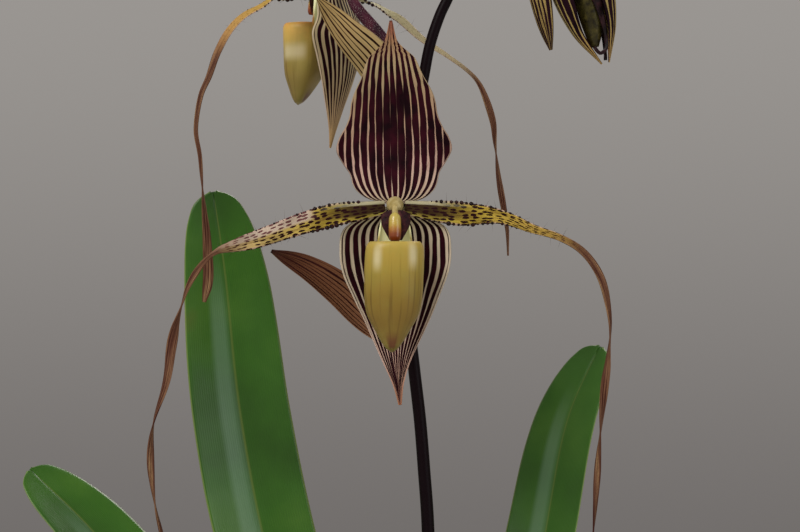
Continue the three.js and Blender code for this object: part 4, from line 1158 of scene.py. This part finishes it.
# %% Bud
BUD_UPPER = sepal_material(
    "bud_sepal_lines", 8,
    ground=[(0.0, "75703c"), (0.35, "8a824c"), (0.75, "9c8650"), (0.92, "a87848"), (1.0, "96643c")],
    ink=[(0.35, "180a12"), (0.65, "2a101c")],
    share=[(0, 0.72), (0.5, 0.76), (0.8, 0.7), (0.92, 0.5), (1, 0.3)],
    middle=[(0, 0.42), (0.5, 0.46), (0.85, 0.36), (1, 0.1)],
    rim=0.0, shade=paint("a89c68"), uneven=1.0,
)
BUD_POUCH_FINISH = simple_material("folded_pouch", [(0.35, "241f10"), (0.55, "423c1a"), (0.7, "5c5228")],
                                   420.0, 0.4)
BUD_PETAL_FINISH = simple_material("crumpled_petal", [(0.4, "12070a"), (0.65, "3a1a20")], 300.0, 0.45)


def bud_sepal(side, bulge, tip_out):
    """One half of the beak, on the side of the bud that is given as 1 or -1."""
    inward = tuple(-side * BUD_OUT)
    hollow = through([(0, 0.4), (0.2, 3.4), (0.5, 6.2), (0.8, 2.6), (1, 0.2)])
    path = [bud_point(0.03, side * 1.2, 0), bud_point(0.14, side * bulge * 0.62, 0),
            bud_point(0.4, side * bulge, 0), bud_point(0.75, side * bulge * 0.72, 0),
            bud_point(1, tip_out, 0)]
    return Blade(path, [inward, inward],
                 [(0, 2.4), (0.12, 7.5), (0.35, 10.5), (0.6, 8.8), (0.85, 3.6), (1, TIP)],
                 lambda u, v: hollow(v) * np.abs(u) ** 2.4)


def bud_petal(side, tail):
    """A narrow strap with its own crumpled tail."""
    y = side * 5.4
    path = [(0.07, -0.9, 0.48), (0.2, -0.4, 1), (0.5, 1.8, 1), (0.7, 2.4, 0.8)] + tail
    return Blade([bud_point(along, out, share * y) for along, out, share in path],
                 [(0, -side, 0), (0, -side, 0)],
                 [(0, 1.6), (0.2, 2.6), (0.5, 2), (0.72, 0.9), (1, 0.6)],
                 lambda u, v: 0.3 * np.sin(40 * v + 2 * u) * v)


HOOKED_TAIL = [(0.84, 2.1, 0.58), (0.915, 0.8, 0.56), (0.93, -1.4, 0.54), (0.88, -3, 0.54)]
for name, blade, finish, slot, across in (
    ("dorsal_sepal", bud_sepal(1, 10, 1.2), BUD_UPPER, "bud_sepal", 60),
    ("synsepal", bud_sepal(-1, 13, -1.6), BUD_UPPER, "bud_sepal", 60),
    ("left_petal", bud_petal(1, [(0.85, 1.6, 0.45), (0.93, 0.9, 0.32), (0.98, 0.2, 0.22)]), BUD_PETAL_FINISH,
     "bud_petal", 10),
    ("right_petal", bud_petal(-1, HOOKED_TAIL), BUD_PETAL_FINISH, "bud_petal", 10),
):
    rings, across_map, along_map, marks = blade.rings(across, 120, SEPAL_THICKNESS)
    settle(skin(f"flower_3_{name}_skin", rings, across_map, along_map, finish, marks=marks), slot,
           f"flower_3_{name}")
bud_pouch = rod_piece("flower_3_pouch_skin",
                      [bud_point(0.1, 0, 0), bud_point(0.2, -0.6, 0), bud_point(0.4, -1, 0),
                       bud_point(0.66, -1, 0), bud_point(0.88, -2.4, 0)],
                      through([(0, 1), (0.12, 2.8), (0.45, 4.6), (0.72, 4.5), (0.9, 3), (1, 1.4)]), 40, 60,
                      BUD_POUCH_FINISH)
settle(bud_pouch, "bud_pouch", "flower_3_pouch")

# %% [markdown]
# ## Leaves
# The leaves are thick straps, folded along the middle, glossy mid-green above and paler below. Fine lines
# run along them, the midrib is a shallow groove, and the margin is a thin paler line.


# %% Leaf finish
def leaf_material():
    """Glossy green with lengthwise lines, a midrib, a painted highlight beside it and a yellowish margin."""
    material, tree, shader = new_material("strap_leaf_green", 0.3, coat=0.04, specular=0.35)
    across, along, where = blade_map(tree)
    from_middle = sum_up(tree, "ABSOLUTE", across)
    cloud = noise(tree, object_place(tree), 22.0, 4.0)
    green = grade(tree, cloud, [(0.3, "2a5010"), (0.5, "366418"), (0.64, "447020"), (0.8, "5c6426")])
    foot = fall_between(tree, along, 0.0, 0.16)
    green = tint(tree, green, "8f9a52", foot, 0.55)
    lines = use_group(tree, VEIN_LINES, {"Across": across, "Along": along, "Count": 44.0, "Share": 0.5,
                                         "Wander": 0.1, "Softness": 0.4}, "Mask")
    green = tint(tree, green, "234a17", lines, 0.16)
    rib = fall_between(tree, from_middle, 0.0, 0.05)
    green = tint(tree, green, "7a8240", rib, 0.4)
    # A pale band beside the midrib is a painted highlight, where the gloss of the fold would reflect the
    # light.
    painted_sheen_band = sum_up(tree, "ABSOLUTE", sum_up(tree, "ADD", across, 0.25))
    painted_sheen_band = fall_between(tree, painted_sheen_band, 0.08, 0.26)
    painted_sheen_band = product(tree, painted_sheen_band, step_between(tree, along, 0.2, 0.5))
    painted_sheen_band = product(tree, painted_sheen_band, fall_between(tree, along, 0.84, 0.95))
    green = tint(tree, green, "8fae98", painted_sheen_band, 0.26)
    edge = step_between(tree, from_middle, 0.965, 0.99)
    green = tint(tree, green, "8a9a58", edge, 0.7)
    front = piece_value(tree, "front")
    below = blend_colours(tree, 0.55, green, paint("6f9150"))
    tree.links.new(blend_colours(tree, front, below, green), shader.inputs["Base Color"])
    dull = noise(tree, object_place(tree), 60.0, 3.0)
    gloss = sum_up(tree, "MULTIPLY_ADD", dull, 0.2, 0.24)
    tree.links.new(gloss, shader.inputs["Roughness"])
    set_bump(tree, shader, sum_up(tree, "MULTIPLY_ADD", lines, 0.5, dull), 0.12, 0.0006)
    return material


LEAF_FINISH = leaf_material()
print("finish:", LEAF_FINISH.name)

# %% Leaf forms
LEAF_THICKNESS = 1.4
LEAF_FACES = (40, 110)
LEAF_CROWDING = 2.2
LEAF_FOOT = 110.3
LEAF_UPRIGHT = 9
LEAF_RINGS = (5.2, 9.2, 13, 16)
LEAF_FOOT_WRAP = 0.84
LEAVES = [
    (0, 135, 19, (0.15, -1, 0.35),
     [(-17, 22, 165), (-41, 38, 230), (-61, 45, 290), (-73, 46, 350), (-79, 46, 405), (-83.5, 46, 436.8)]),
    (0, 0, 16, (-0.75, -0.95, 0.4),
     [(18, 8, 170), (33, 20, 240), (45, 32, 306), (54, 35, 350), (66, 36, 377)]),
    (1, 198, 18, (0.5, -0.75, 0.8),
     [(-33, -6, 165), (-68, -2, 220), (-101, 8, 275), (-126, 16, 307), (-151, 20, 331)]),
    (1, 356, 19, (-0.1, 0.05, 1), [(40, -6, 165), (88, -12, 213), (140, -16, 228), (182, -18, 206)]),
    (2, 222, 18, (0.1, 0.1, 1), [(-38, -32, 160), (-74, -60, 203), (-110, -88, 214), (-140, -108, 192)]),
    (2, 76, 19, (0, -0.25, 1), [(12, 42, 175), (22, 82, 236), (31, 124, 266), (38, 160, 256)]),
    (3, 305, 17, (-0.05, 0.1, 1), [(32, -46, 158), (58, -82, 190), (84, -116, 192), (104, -142, 166)]),
    (3, 128, 18, (0.05, -0.1, 1), [(-38, 46, 160), (-74, 78, 202), (-110, 108, 214), (-138, 132, 194)]),
]


def leaf_blade(ring, azimuth, width, face, path):
    """A leaf from its gutter-shaped foot at the crown to its tip."""
    angle = math.radians(azimuth)
    foot = LEAF_RINGS[ring]
    out = (math.cos(angle), math.sin(angle))
    inward = (-out[0], -out[1], 0.02)
    between = tuple(0.5 * (a + b) for a, b in zip(inward, face))
    foot_width = LEAF_FOOT_WRAP * foot
    foot_depth = 0.66 * foot_width
    channel = through([(0, foot_depth), (0.06, foot_depth), (0.35, 0.36 * width), (0.8, 0.2 * width),
                       (1, 0.4)])
    start = [(foot * out[0], foot * out[1], z) for z in (LEAF_FOOT, LEAF_FOOT + LEAF_UPRIGHT)]
    return Blade(start + path, [inward, between, face, face],
                 [(0, foot_width), (0.06, foot_width), (0.3, width), (0.62, 1.03 * width),
                  (0.8, 0.98 * width), (0.88, 0.9 * width), (0.93, 0.79 * width), (0.957, 0.69 * width),
                  (0.972, 0.6 * width), (0.988, 0.45 * width), (0.996, 0.27 * width), (1, 0.08 * width)],
                 lambda u, v: channel(v) * np.abs(u) ** 1.7 - 0.25 * np.exp(-(u / 0.04) ** 2))


for number, form in enumerate(LEAVES, 1):
    rings, across_map, along_map, marks = leaf_blade(*form).rings(*LEAF_FACES, LEAF_THICKNESS, LEAF_CROWDING)
    settle(skin(f"leaf_{number}_skin", rings, across_map, along_map, LEAF_FINISH, marks=marks), "leaf",
           f"leaf_{number}")

# %% [markdown]
# ## Pot
# The pot is a plain dark nursery pot, turned from one profile like a vase on a lathe. Six drainage holes
# are cut through its floor.

# %% Pot form
POT_HEIGHT = 130
POT_TOP_RADIUS = 71
POT_BASE_RADIUS = 50
POT_WALL = 2.2
POT_FLOOR = 3.5
POT_LIP_HEIGHT = 18
POT_LIP_STEP = 4
POT_SIDES = 180
POT_LIP_FOOT = POT_HEIGHT - POT_LIP_HEIGHT
POT_SLOPE = (POT_TOP_RADIUS - POT_LIP_STEP - POT_BASE_RADIUS) / POT_LIP_FOOT
DRAIN_HOLES = 6
DRAIN_HOLE_RADIUS = 5
DRAIN_HOLE_CIRCLE = 33


def pot_inside(z):
    return POT_BASE_RADIUS + POT_SLOPE * z - POT_WALL


def turned(name, profile, material):
    """A closed solid of revolution through (radius, height) pairs that start and end on the axis."""
    angle = np.linspace(0, 2 * math.pi, POT_SIDES, endpoint=False)
    middle = np.array(profile[1:-1], float)
    rings = np.stack([middle[:, :1] * np.cos(angle), middle[:, :1] * np.sin(angle),
                      np.repeat(middle[:, 1:], POT_SIDES, 1)], -1)
    poles = [(0, 0, profile[0][1]), (0, 0, profile[-1][1])]
    return skin(name, rings, np.linspace(0, 1, POT_SIDES + 1), np.linspace(0, 1, len(middle)), material,
                poles=poles)


def eased(corners):
    """A profile whose corners are each replaced by a small arc of (radius, height, rounding)."""
    points = [corners[0][:2]]
    for before, (r, z, rounding), after in zip(corners, corners[1:-1], corners[2:]):
        here = np.array((r, z), float)
        back = np.array(before[:2], float) - here
        on = np.array(after[:2], float) - here
        start = here + back / np.linalg.norm(back) * rounding
        stop = here + on / np.linalg.norm(on) * rounding
        for t in np.linspace(0, 1, 6 if rounding > 0.3 else 2):
            points.append(tuple((1 - t) ** 2 * start + 2 * t * (1 - t) * here + t * t * stop))
    return points + [corners[-1][:2]]


def pot_material():
    """Dark moulded plastic with a faint sheen, dust near the foot and fine scratches."""
    material, tree, shader = new_material("nursery_pot_plastic", 0.5)
    where = object_place(tree)
    grain = noise(tree, where, 900.0, 2.0)
    dust = noise(tree, where, 35.0, 5.0)
    height = add_node(tree, "ShaderNodeSeparateXYZ", {0: where}).outputs[2]
    low = fall_between(tree, height, 0.0, 0.06)
    dusty = product(tree, step_between(tree, dust, 0.45, 0.75),
                    sum_up(tree, "MULTIPLY_ADD", low, 0.25, 0.12))
    scratches = noise(tree, stretched(tree, where, (1.0, 1.0, 0.06)), 700.0, 2.0)
    base = grade(tree, grain, [(0.3, "262928"), (0.7, "303432")])
    tree.links.new(blend_colours(tree, dusty, base, paint("8d857a")), shader.inputs["Base Color"])
    rough = sum_up(tree, "MULTIPLY_ADD", dusty, 0.5, 0.42)
    tree.links.new(rough, shader.inputs["Roughness"])
    set_bump(tree, shader, sum_up(tree, "ADD", grain, scratches), 0.12, 0.0003)
    return material


POT_FINISH = pot_material()
pot = turned("pot_skin", eased([
    (0, 0, 0), (POT_BASE_RADIUS - 1, 0, 2), (POT_TOP_RADIUS - POT_LIP_STEP, POT_LIP_FOOT, 0.6),
    (POT_TOP_RADIUS - 1, POT_LIP_FOOT + 1, 0.7), (POT_TOP_RADIUS, POT_HEIGHT, 1.2),
    (pot_inside(POT_HEIGHT), POT_HEIGHT, 0.9), (pot_inside(POT_FLOOR), POT_FLOOR, 3), (0, POT_FLOOR, 0),
]), POT_FINISH)

# %% Drainage holes
cutters = []
for k in range(DRAIN_HOLES):
    angle = 2 * math.pi * k / DRAIN_HOLES
    x, y = DRAIN_HOLE_CIRCLE * math.cos(angle), DRAIN_HOLE_CIRCLE * math.sin(angle)
    cutters.append(rod_piece("hole", [(x, y, -5), (x, y, 2), (x, y, 3 * POT_FLOOR)],
                             lambda v: DRAIN_HOLE_RADIUS + 0 * v, 32, 2, POT_FINISH))
cutter = join_pieces("holes", cutters)
cut = pot.modifiers.new("holes", "BOOLEAN")
cut.object = cutter
cut.operation = "DIFFERENCE"
cut.solver = "EXACT"


def made_plain(piece):
    """Replaces an object's mesh by the result of its modifiers, and removes them."""
    depsgraph = bpy.context.evaluated_depsgraph_get()
    result = bpy.data.meshes.new_from_object(piece.evaluated_get(depsgraph), depsgraph=depsgraph)
    piece.modifiers.clear()
    piece.data = result
    return piece


made_plain(pot)
bpy.data.objects.remove(cutter)
settle(pot, "pot", "pot")

# %% [markdown]
# ## Repeats from Geometry Nodes
# Small things repeat by the hundred: warts and stiff hairs along the petal margins, hairs on the shields,
# the down of the ovaries, and bark chips on top of the pot. Each kind comes from a tree that scatters one
# small shape over a face or along a line. The shape has few faces, the seed is fixed, and the result is
# made a plain mesh.


# %% Tree helpers
def new_tree(name, inputs):
    """A geometry tree with named number inputs, its input and output nodes, and the sockets' keys."""
    tree = bpy.data.node_groups.new(name, "GeometryNodeTree")
    tree.interface.new_socket("Geometry", in_out="INPUT", socket_type="NodeSocketGeometry")
    keys = {}
    for label, start in inputs.items():
        kind = "NodeSocketInt" if isinstance(start, int) else "NodeSocketFloat"
        socket = tree.interface.new_socket(label, in_out="INPUT", socket_type=kind)
        socket.default_value = start
        keys[label] = socket.identifier
    tree.interface.new_socket("Geometry", in_out="OUTPUT", socket_type="NodeSocketGeometry")
    return tree, tree.nodes.new("NodeGroupInput"), tree.nodes.new("NodeGroupOutput"), keys


def grow(guide, tree, keys, values):
    """Runs a tree on a guide object and keeps the result as a plain mesh."""
    modifier = guide.modifiers.new(tree.name, "NODES")
    modifier.node_group = tree
    for label, value in values.items():
        modifier[keys[label]] = value
    return made_plain(guide)


def random_vector(tree, low, high, seed):
    """A random vector at each point, between two vectors."""
    return add_node(tree, "FunctionNodeRandomValue", {"Min": low, "Max": high, "Seed": seed},
                    data_type="FLOAT_VECTOR").outputs[0]


def finish_tree(tree, result, instances, material, offset=None):
    """Ends a tree: the instances become faces, moved by an offset if there is one, with a material."""
    real = add_node(tree, "GeometryNodeRealizeInstances", {0: instances})
    if offset is not None:
        real = add_node(tree, "GeometryNodeSetPosition", {"Geometry": real.outputs[0], "Offset": offset})
    dressed = add_node(tree, "GeometryNodeSetMaterial", {"Geometry": real.outputs[0],
                                                         "Material": material})
    tree.links.new(dressed.outputs[0], result.inputs[0])


def guide_object(name, points, edges, vectors, sizes):
    """A mesh of points and edges in millimetres that carries a direction and a size at each point."""
    mesh = bpy.data.meshes.new(name)
    mesh.from_pydata((np.asarray(points, float) * MM).tolist(), edges, [])
    mesh.attributes.new("direction", "FLOAT_VECTOR", "POINT").data.foreach_set(
        "vector", np.asarray(vectors, np.float32).ravel())
    mesh.attributes.new("size", "FLOAT", "POINT").data.foreach_set(
        "value", np.asarray(sizes, np.float32).ravel())
    return new_object(name, mesh)


# %% Tree for things along a line
def line_tree(name, shape, material, inputs):
    """Scatters one shape along the edges of a guide, pointing in its direction with some scatter."""
    tree, given, result, keys = new_tree(name, inputs)
    curve = add_node(tree, "GeometryNodeMeshToCurve", {0: given.outputs["Geometry"]})
    points = add_node(tree, "GeometryNodeCurveToPoints", {"Curve": curve.outputs[0],
                                                          "Length": given.outputs["Spacing"]},
                      mode="LENGTH")
    direction = add_node(tree, "GeometryNodeInputNamedAttribute", {"Name": "direction"},
                         data_type="FLOAT_VECTOR").outputs[0]
    size = add_node(tree, "GeometryNodeInputNamedAttribute", {"Name": "size"},
                    data_type="FLOAT").outputs[0]
    scatter = random_vector(tree, (-1, -1, -1), (1, 1, 1), given.outputs["Seed"])
    scatter = add_node(tree, "ShaderNodeVectorMath", {0: scatter, 3: given.outputs["Scatter"]},
                       operation="SCALE").outputs[0]
    aim = add_node(tree, "ShaderNodeVectorMath", {0: direction, 1: scatter}).outputs[0]
    turn = add_node(tree, "FunctionNodeAlignRotationToVector", {"Vector": aim}, axis="Z").outputs[0]
    draw = add_node(tree, "FunctionNodeRandomValue",
                    {2: given.outputs["Least"], 3: 1.0, "Seed": given.outputs["Seed"]},
                    data_type="FLOAT").outputs[1]
    scale = product(tree, size, draw)
    placed = add_node(tree, "GeometryNodeInstanceOnPoints",
                      {"Points": points.outputs["Points"], "Instance": shape(tree, given),
                       "Rotation": turn, "Scale": scale})
    finish_tree(tree, result, placed.outputs[0], material)
    return tree, keys


def hair_shape(tree, given):
    """A thin three-sided cone."""
    return add_node(tree, "GeometryNodeMeshCone",
                    {"Vertices": 3, "Radius Top": 0.0, "Radius Bottom": given.outputs["Radius"],
                     "Depth": given.outputs["Length"]}).outputs["Mesh"]


def wart_shape(tree, given):
    """A small lump."""
    return add_node(tree, "GeometryNodeMeshIcoSphere",
                    {"Radius": given.outputs["Radius"], "Subdivisions": 2}).outputs["Mesh"]


HAIR_INPUTS = {"Spacing": 0.003, "Length": 0.004, "Radius": 0.0001, "Scatter": 0.5, "Least": 0.4,
               "Seed": 1}
WART_INPUTS = {"Spacing": 0.0012, "Radius": 0.0004, "Scatter": 0.8, "Least": 0.35, "Seed": 1}
DARK_HAIRS, DARK_HAIR_KEYS = line_tree("margin_hairs", hair_shape, HAIR_FINISH, HAIR_INPUTS)
WARTS, WART_KEYS = line_tree("margin_warts", wart_shape, WART_FINISH, WART_INPUTS)
print("trees:", DARK_HAIRS.name, WARTS.name)


# %% Petal margins
def margin_guide(name, blade, first, last, steps, size, reach=1.0):
    """Both margins of a blade between two places along it, as a guide that points outwards. Reach is
    the share of the half width at which it runs."""
    v = np.linspace(first, last, steps)
    points, vectors, sizes, edges = [], [], [], []
    for side in (-1.0, 1.0):
        start = len(points)
        edge = blade.at(np.full(steps, side * reach), v)
        inner = blade.at(np.full(steps, side * 0.8), v)
        points += edge.tolist()
        vectors += unit(edge - inner).tolist()
        sizes += size(v).tolist()
        edges += [(start + k, start + k + 1) for k in range(steps - 1)]
    return guide_object(name, points, edges, vectors, sizes)


MARGIN_STEPS = 200
WART_ENDS = {"flower_1_left_petal": 0.3, "flower_1_right_petal": 0.26, "flower_2_left_petal": 0.26,
             "flower_2_right_petal": 0.26}
for number, (name, blade) in enumerate(petal_blades.items(), 1):
    end = WART_ENDS[name]
    warts = margin_guide(f"{name}_warts", blade, 0.05, end, MARGIN_STEPS,
                         through([(0, 0.7), (0.1, 1.3), (0.2, 0.8), (end, 0.35)]), reach=0.93)
    grow(warts, WARTS, WART_KEYS, {"Spacing": 0.0018, "Radius": 0.00075, "Scatter": 0.8, "Least": 0.3,
                                   "Seed": number})
    hairs = margin_guide(f"{name}_hairs", blade, 0.06, end + 0.05, MARGIN_STEPS,
                         lambda v: 1.0 + 0 * v)
    grow(hairs, DARK_HAIRS, DARK_HAIR_KEYS, {"Spacing": 0.0036, "Length": 0.0048, "Radius": 0.00006,
                                             "Scatter": 0.75, "Least": 0.35, "Seed": 20 + number})
    settle(join_pieces(f"{name}_trim", [warts, hairs]), "petal")


# %% Shield hairs
SHIELD_ROW_STEPS = 30
for number, (label, flower) in enumerate((("flower_1", FIRST_FLOWER), ("flower_2", SECOND_FLOWER)), 1):
    blade = shield_blade()
    v = np.linspace(0.05, 0.92, SHIELD_ROW_STEPS)
    points, vectors, edges = [], [], []
    for u in np.concatenate([np.linspace(-1, -0.5, 5), np.linspace(0.5, 1, 5)]):
        start = len(points)
        row = blade.at(np.full(SHIELD_ROW_STEPS, u), v) - np.array([0, 0.5, 0])
        points += in_flower(row, flower).tolist()
        out = in_flower(row + np.array([u * 0.9, -0.8, -0.2]), flower) - in_flower(row, flower)
        vectors += unit(out).tolist()
        edges += [(start + k, start + k + 1) for k in range(SHIELD_ROW_STEPS - 1)]
    fringe = guide_object(f"{label}_shield_hairs", points, edges, vectors, np.ones(len(points)))
    grow(fringe, DARK_HAIRS, DARK_HAIR_KEYS, {"Spacing": 0.0005, "Length": 0.0013, "Radius": 0.00008,
                                              "Scatter": 0.6, "Least": 0.5, "Seed": 40 + number})
    settle(fringe, "column")


# %% Ovary hairs
def surface_tree(name, material):
    """Scatters short cones over a closed surface, leaning at random."""
    tree, given, result, keys = new_tree(name, {"Density": 1e6, "Length": 0.0008, "Radius": 0.00004,
                                                "Seed": 1})
    points = add_node(tree, "GeometryNodeDistributePointsOnFaces",
                      {"Mesh": given.outputs["Geometry"], "Density": given.outputs["Density"],
                       "Seed": given.outputs["Seed"]})
    scatter = random_vector(tree, (-0.6, -0.6, -0.6), (0.6, 0.6, 0.6), given.outputs["Seed"])
    aim = add_node(tree, "ShaderNodeVectorMath", {0: points.outputs["Normal"], 1: scatter}).outputs[0]
    turn = add_node(tree, "FunctionNodeAlignRotationToVector", {"Vector": aim}, axis="Z").outputs[0]
    placed = add_node(tree, "GeometryNodeInstanceOnPoints",
                      {"Points": points.outputs["Points"], "Instance": hair_shape(tree, given),
                       "Rotation": turn})
    finish_tree(tree, result, placed.outputs[0], material)
    return tree, keys


DOWN, DOWN_KEYS = surface_tree("ovary_down", PALE_HAIR_FINISH)
for number, ovary in enumerate(ovary_pieces, 1):
    down = new_object(f"ovary_{number}_down", ovary.data.copy())
    grow(down, DOWN, DOWN_KEYS, {"Density": 1.6e6, "Length": 0.0008, "Radius": 0.00004, "Seed": number})
    settle(join_pieces(f"ovary_{number}_dressed", [ovary, down]), "ovary", f"ovary_{number}")

# %% [markdown]
# ## Bark
# The bark bed fills the pot below a layer of loose chips. The chips are one rough block, thrown on the bed
# many times with random turns and sizes, and then pushed about by a noise so that no two are alike.

# %% Bark finish and bed
BARK_TOP = 116
BARK_FINISH = simple_material("fir_bark", [(0.3, "2f1f15"), (0.45, "543622"), (0.6, "7a5233"),
                                           (0.75, "9a7650")], 130.0, 0.85, bump=0.8)
bed = turned("bark_bed", eased([
    (0, 4, 0), (pot_inside(4) - 3.8, 4, 0.2), (pot_inside(7.5) - 0.6, 7.5, 0.2),
    (pot_inside(BARK_TOP - 4) - 0.6, BARK_TOP - 4, 1), (0, BARK_TOP - 4, 0),
]), BARK_FINISH)

# %% Bark chips
CHIP_SIZE = (0.014, 0.009, 0.0055)


def chip_tree():
    """Throws rough blocks on a guide's faces and makes each a little different."""
    tree, given, result, keys = new_tree("bark_chips", {"Spacing": 0.006, "Density": 60000.0, "Seed": 1})
    points = add_node(tree, "GeometryNodeDistributePointsOnFaces",
                      {"Mesh": given.outputs["Geometry"], "Distance Min": given.outputs["Spacing"],
                       "Density Max": given.outputs["Density"], "Seed": given.outputs["Seed"]},
                      distribute_method="POISSON")
    block = add_node(tree, "GeometryNodeMeshCube", {"Size": CHIP_SIZE, "Vertices X": 4, "Vertices Y": 3,
                                                    "Vertices Z": 3}).outputs["Mesh"]
    lean = random_vector(tree, (-0.5, -0.5, 0.0), (0.5, 0.5, 6.28), given.outputs["Seed"])
    turn = add_node(tree, "FunctionNodeEulerToRotation", {0: lean}).outputs[0]
    size = random_vector(tree, (0.65, 0.7, 0.6), (1.15, 1.25, 1.3), given.outputs["Seed"])
    placed = add_node(tree, "GeometryNodeInstanceOnPoints",
                      {"Points": points.outputs["Points"], "Instance": block, "Rotation": turn,
                       "Scale": size})
    rough = add_node(tree, "ShaderNodeTexNoise", {"Scale": 190.0, "Detail": 2.0}).outputs["Color"]
    push = add_node(tree, "ShaderNodeVectorMath", {0: rough, 1: (0.5, 0.5, 0.5)},
                    operation="SUBTRACT").outputs[0]
    push = add_node(tree, "ShaderNodeVectorMath", {0: push, 3: 0.007}, operation="SCALE").outputs[0]
    finish_tree(tree, result, placed.outputs[0], BARK_FINISH, push)
    return tree, keys


def ring_guide(name, inner, outer, height):
    """A flat ring to throw chips on."""
    sides = 64
    angle = np.linspace(0, 2 * math.pi, sides, endpoint=False)
    rows = [np.stack([r * np.cos(angle), r * np.sin(angle), np.full(sides, height)], -1)
            for r in (inner, outer)]
    faces = [(k, (k + 1) % sides, sides + (k + 1) % sides, sides + k) for k in range(sides)]
    mesh = bpy.data.meshes.new(name)
    mesh.from_pydata((np.vstack(rows) * MM).tolist(), [], faces)
    return new_object(name, mesh)


CHIPS, CHIP_KEYS = chip_tree()
chips = grow(ring_guide("bark_chips", 20, 60, BARK_TOP - 1), CHIPS, CHIP_KEYS,
             {"Spacing": 0.0072, "Density": 40000.0, "Seed": 7})
more = grow(ring_guide("more_chips", 20, 61, BARK_TOP - 5), CHIPS, CHIP_KEYS,
            {"Spacing": 0.0062, "Density": 60000.0, "Seed": 11})
settle(join_pieces("bark_dressed", [bed, chips, more]), "bark", "potting_bark")

# %% [markdown]
# ## Crown and roots
# The crown and its roots keep their solid, which is hidden in the bark but for its top. It gets a fibrous
# brown-green skin.

# %% Crown finish
ROOT_FINISH = simple_material("fibrous_root", [(0.35, "6b5a3a"), (0.55, "8c7a58"), (0.75, "7f8a4e")], 260.0,
                              0.8, bump=0.6)
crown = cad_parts["crown_and_roots"]
crown.data.materials.clear()
crown.data.materials.append(ROOT_FINISH)
print("crown keeps its solid:", len(crown.data.vertices), "points")

# %% [markdown]
# ## Floor
# A pale round floor under the pot catches its shadow. It is small enough to stay out of the level view.

# %% Floor
FLOOR_RADIUS = 2.6
floor_material, floor_tree, floor_shader = new_material("pale_floor", 0.7)
floor_shader.inputs["Base Color"].default_value = (0.62, 0.60, 0.58, 1)
bpy.ops.mesh.primitive_circle_add(vertices=96, radius=FLOOR_RADIUS, fill_type="NGON")
floor = bpy.context.object
floor.name = "floor"
floor.data.materials.append(floor_material)
print("floor radius", FLOOR_RADIUS)

# %% [markdown]
# ## Surround
# The surround is a little lighter above the flowers' level and darker below it, as a wall is that is lit
# from above.

# %% Surround
surround = world.node_tree
height = add_node(surround, "ShaderNodeSeparateXYZ",
                  {0: add_node(surround, "ShaderNodeTexCoord").outputs["Generated"]}).outputs[2]
wall = blend_colours(surround, step_between(surround, height, -0.16, 0.14), paint("6d6967"), paint("9b9793"))
surround.links.new(wall, surround.nodes["Background"].inputs["Color"])
print("surround from", paint("6d6967")[:3], "to", paint("9b9793")[:3])
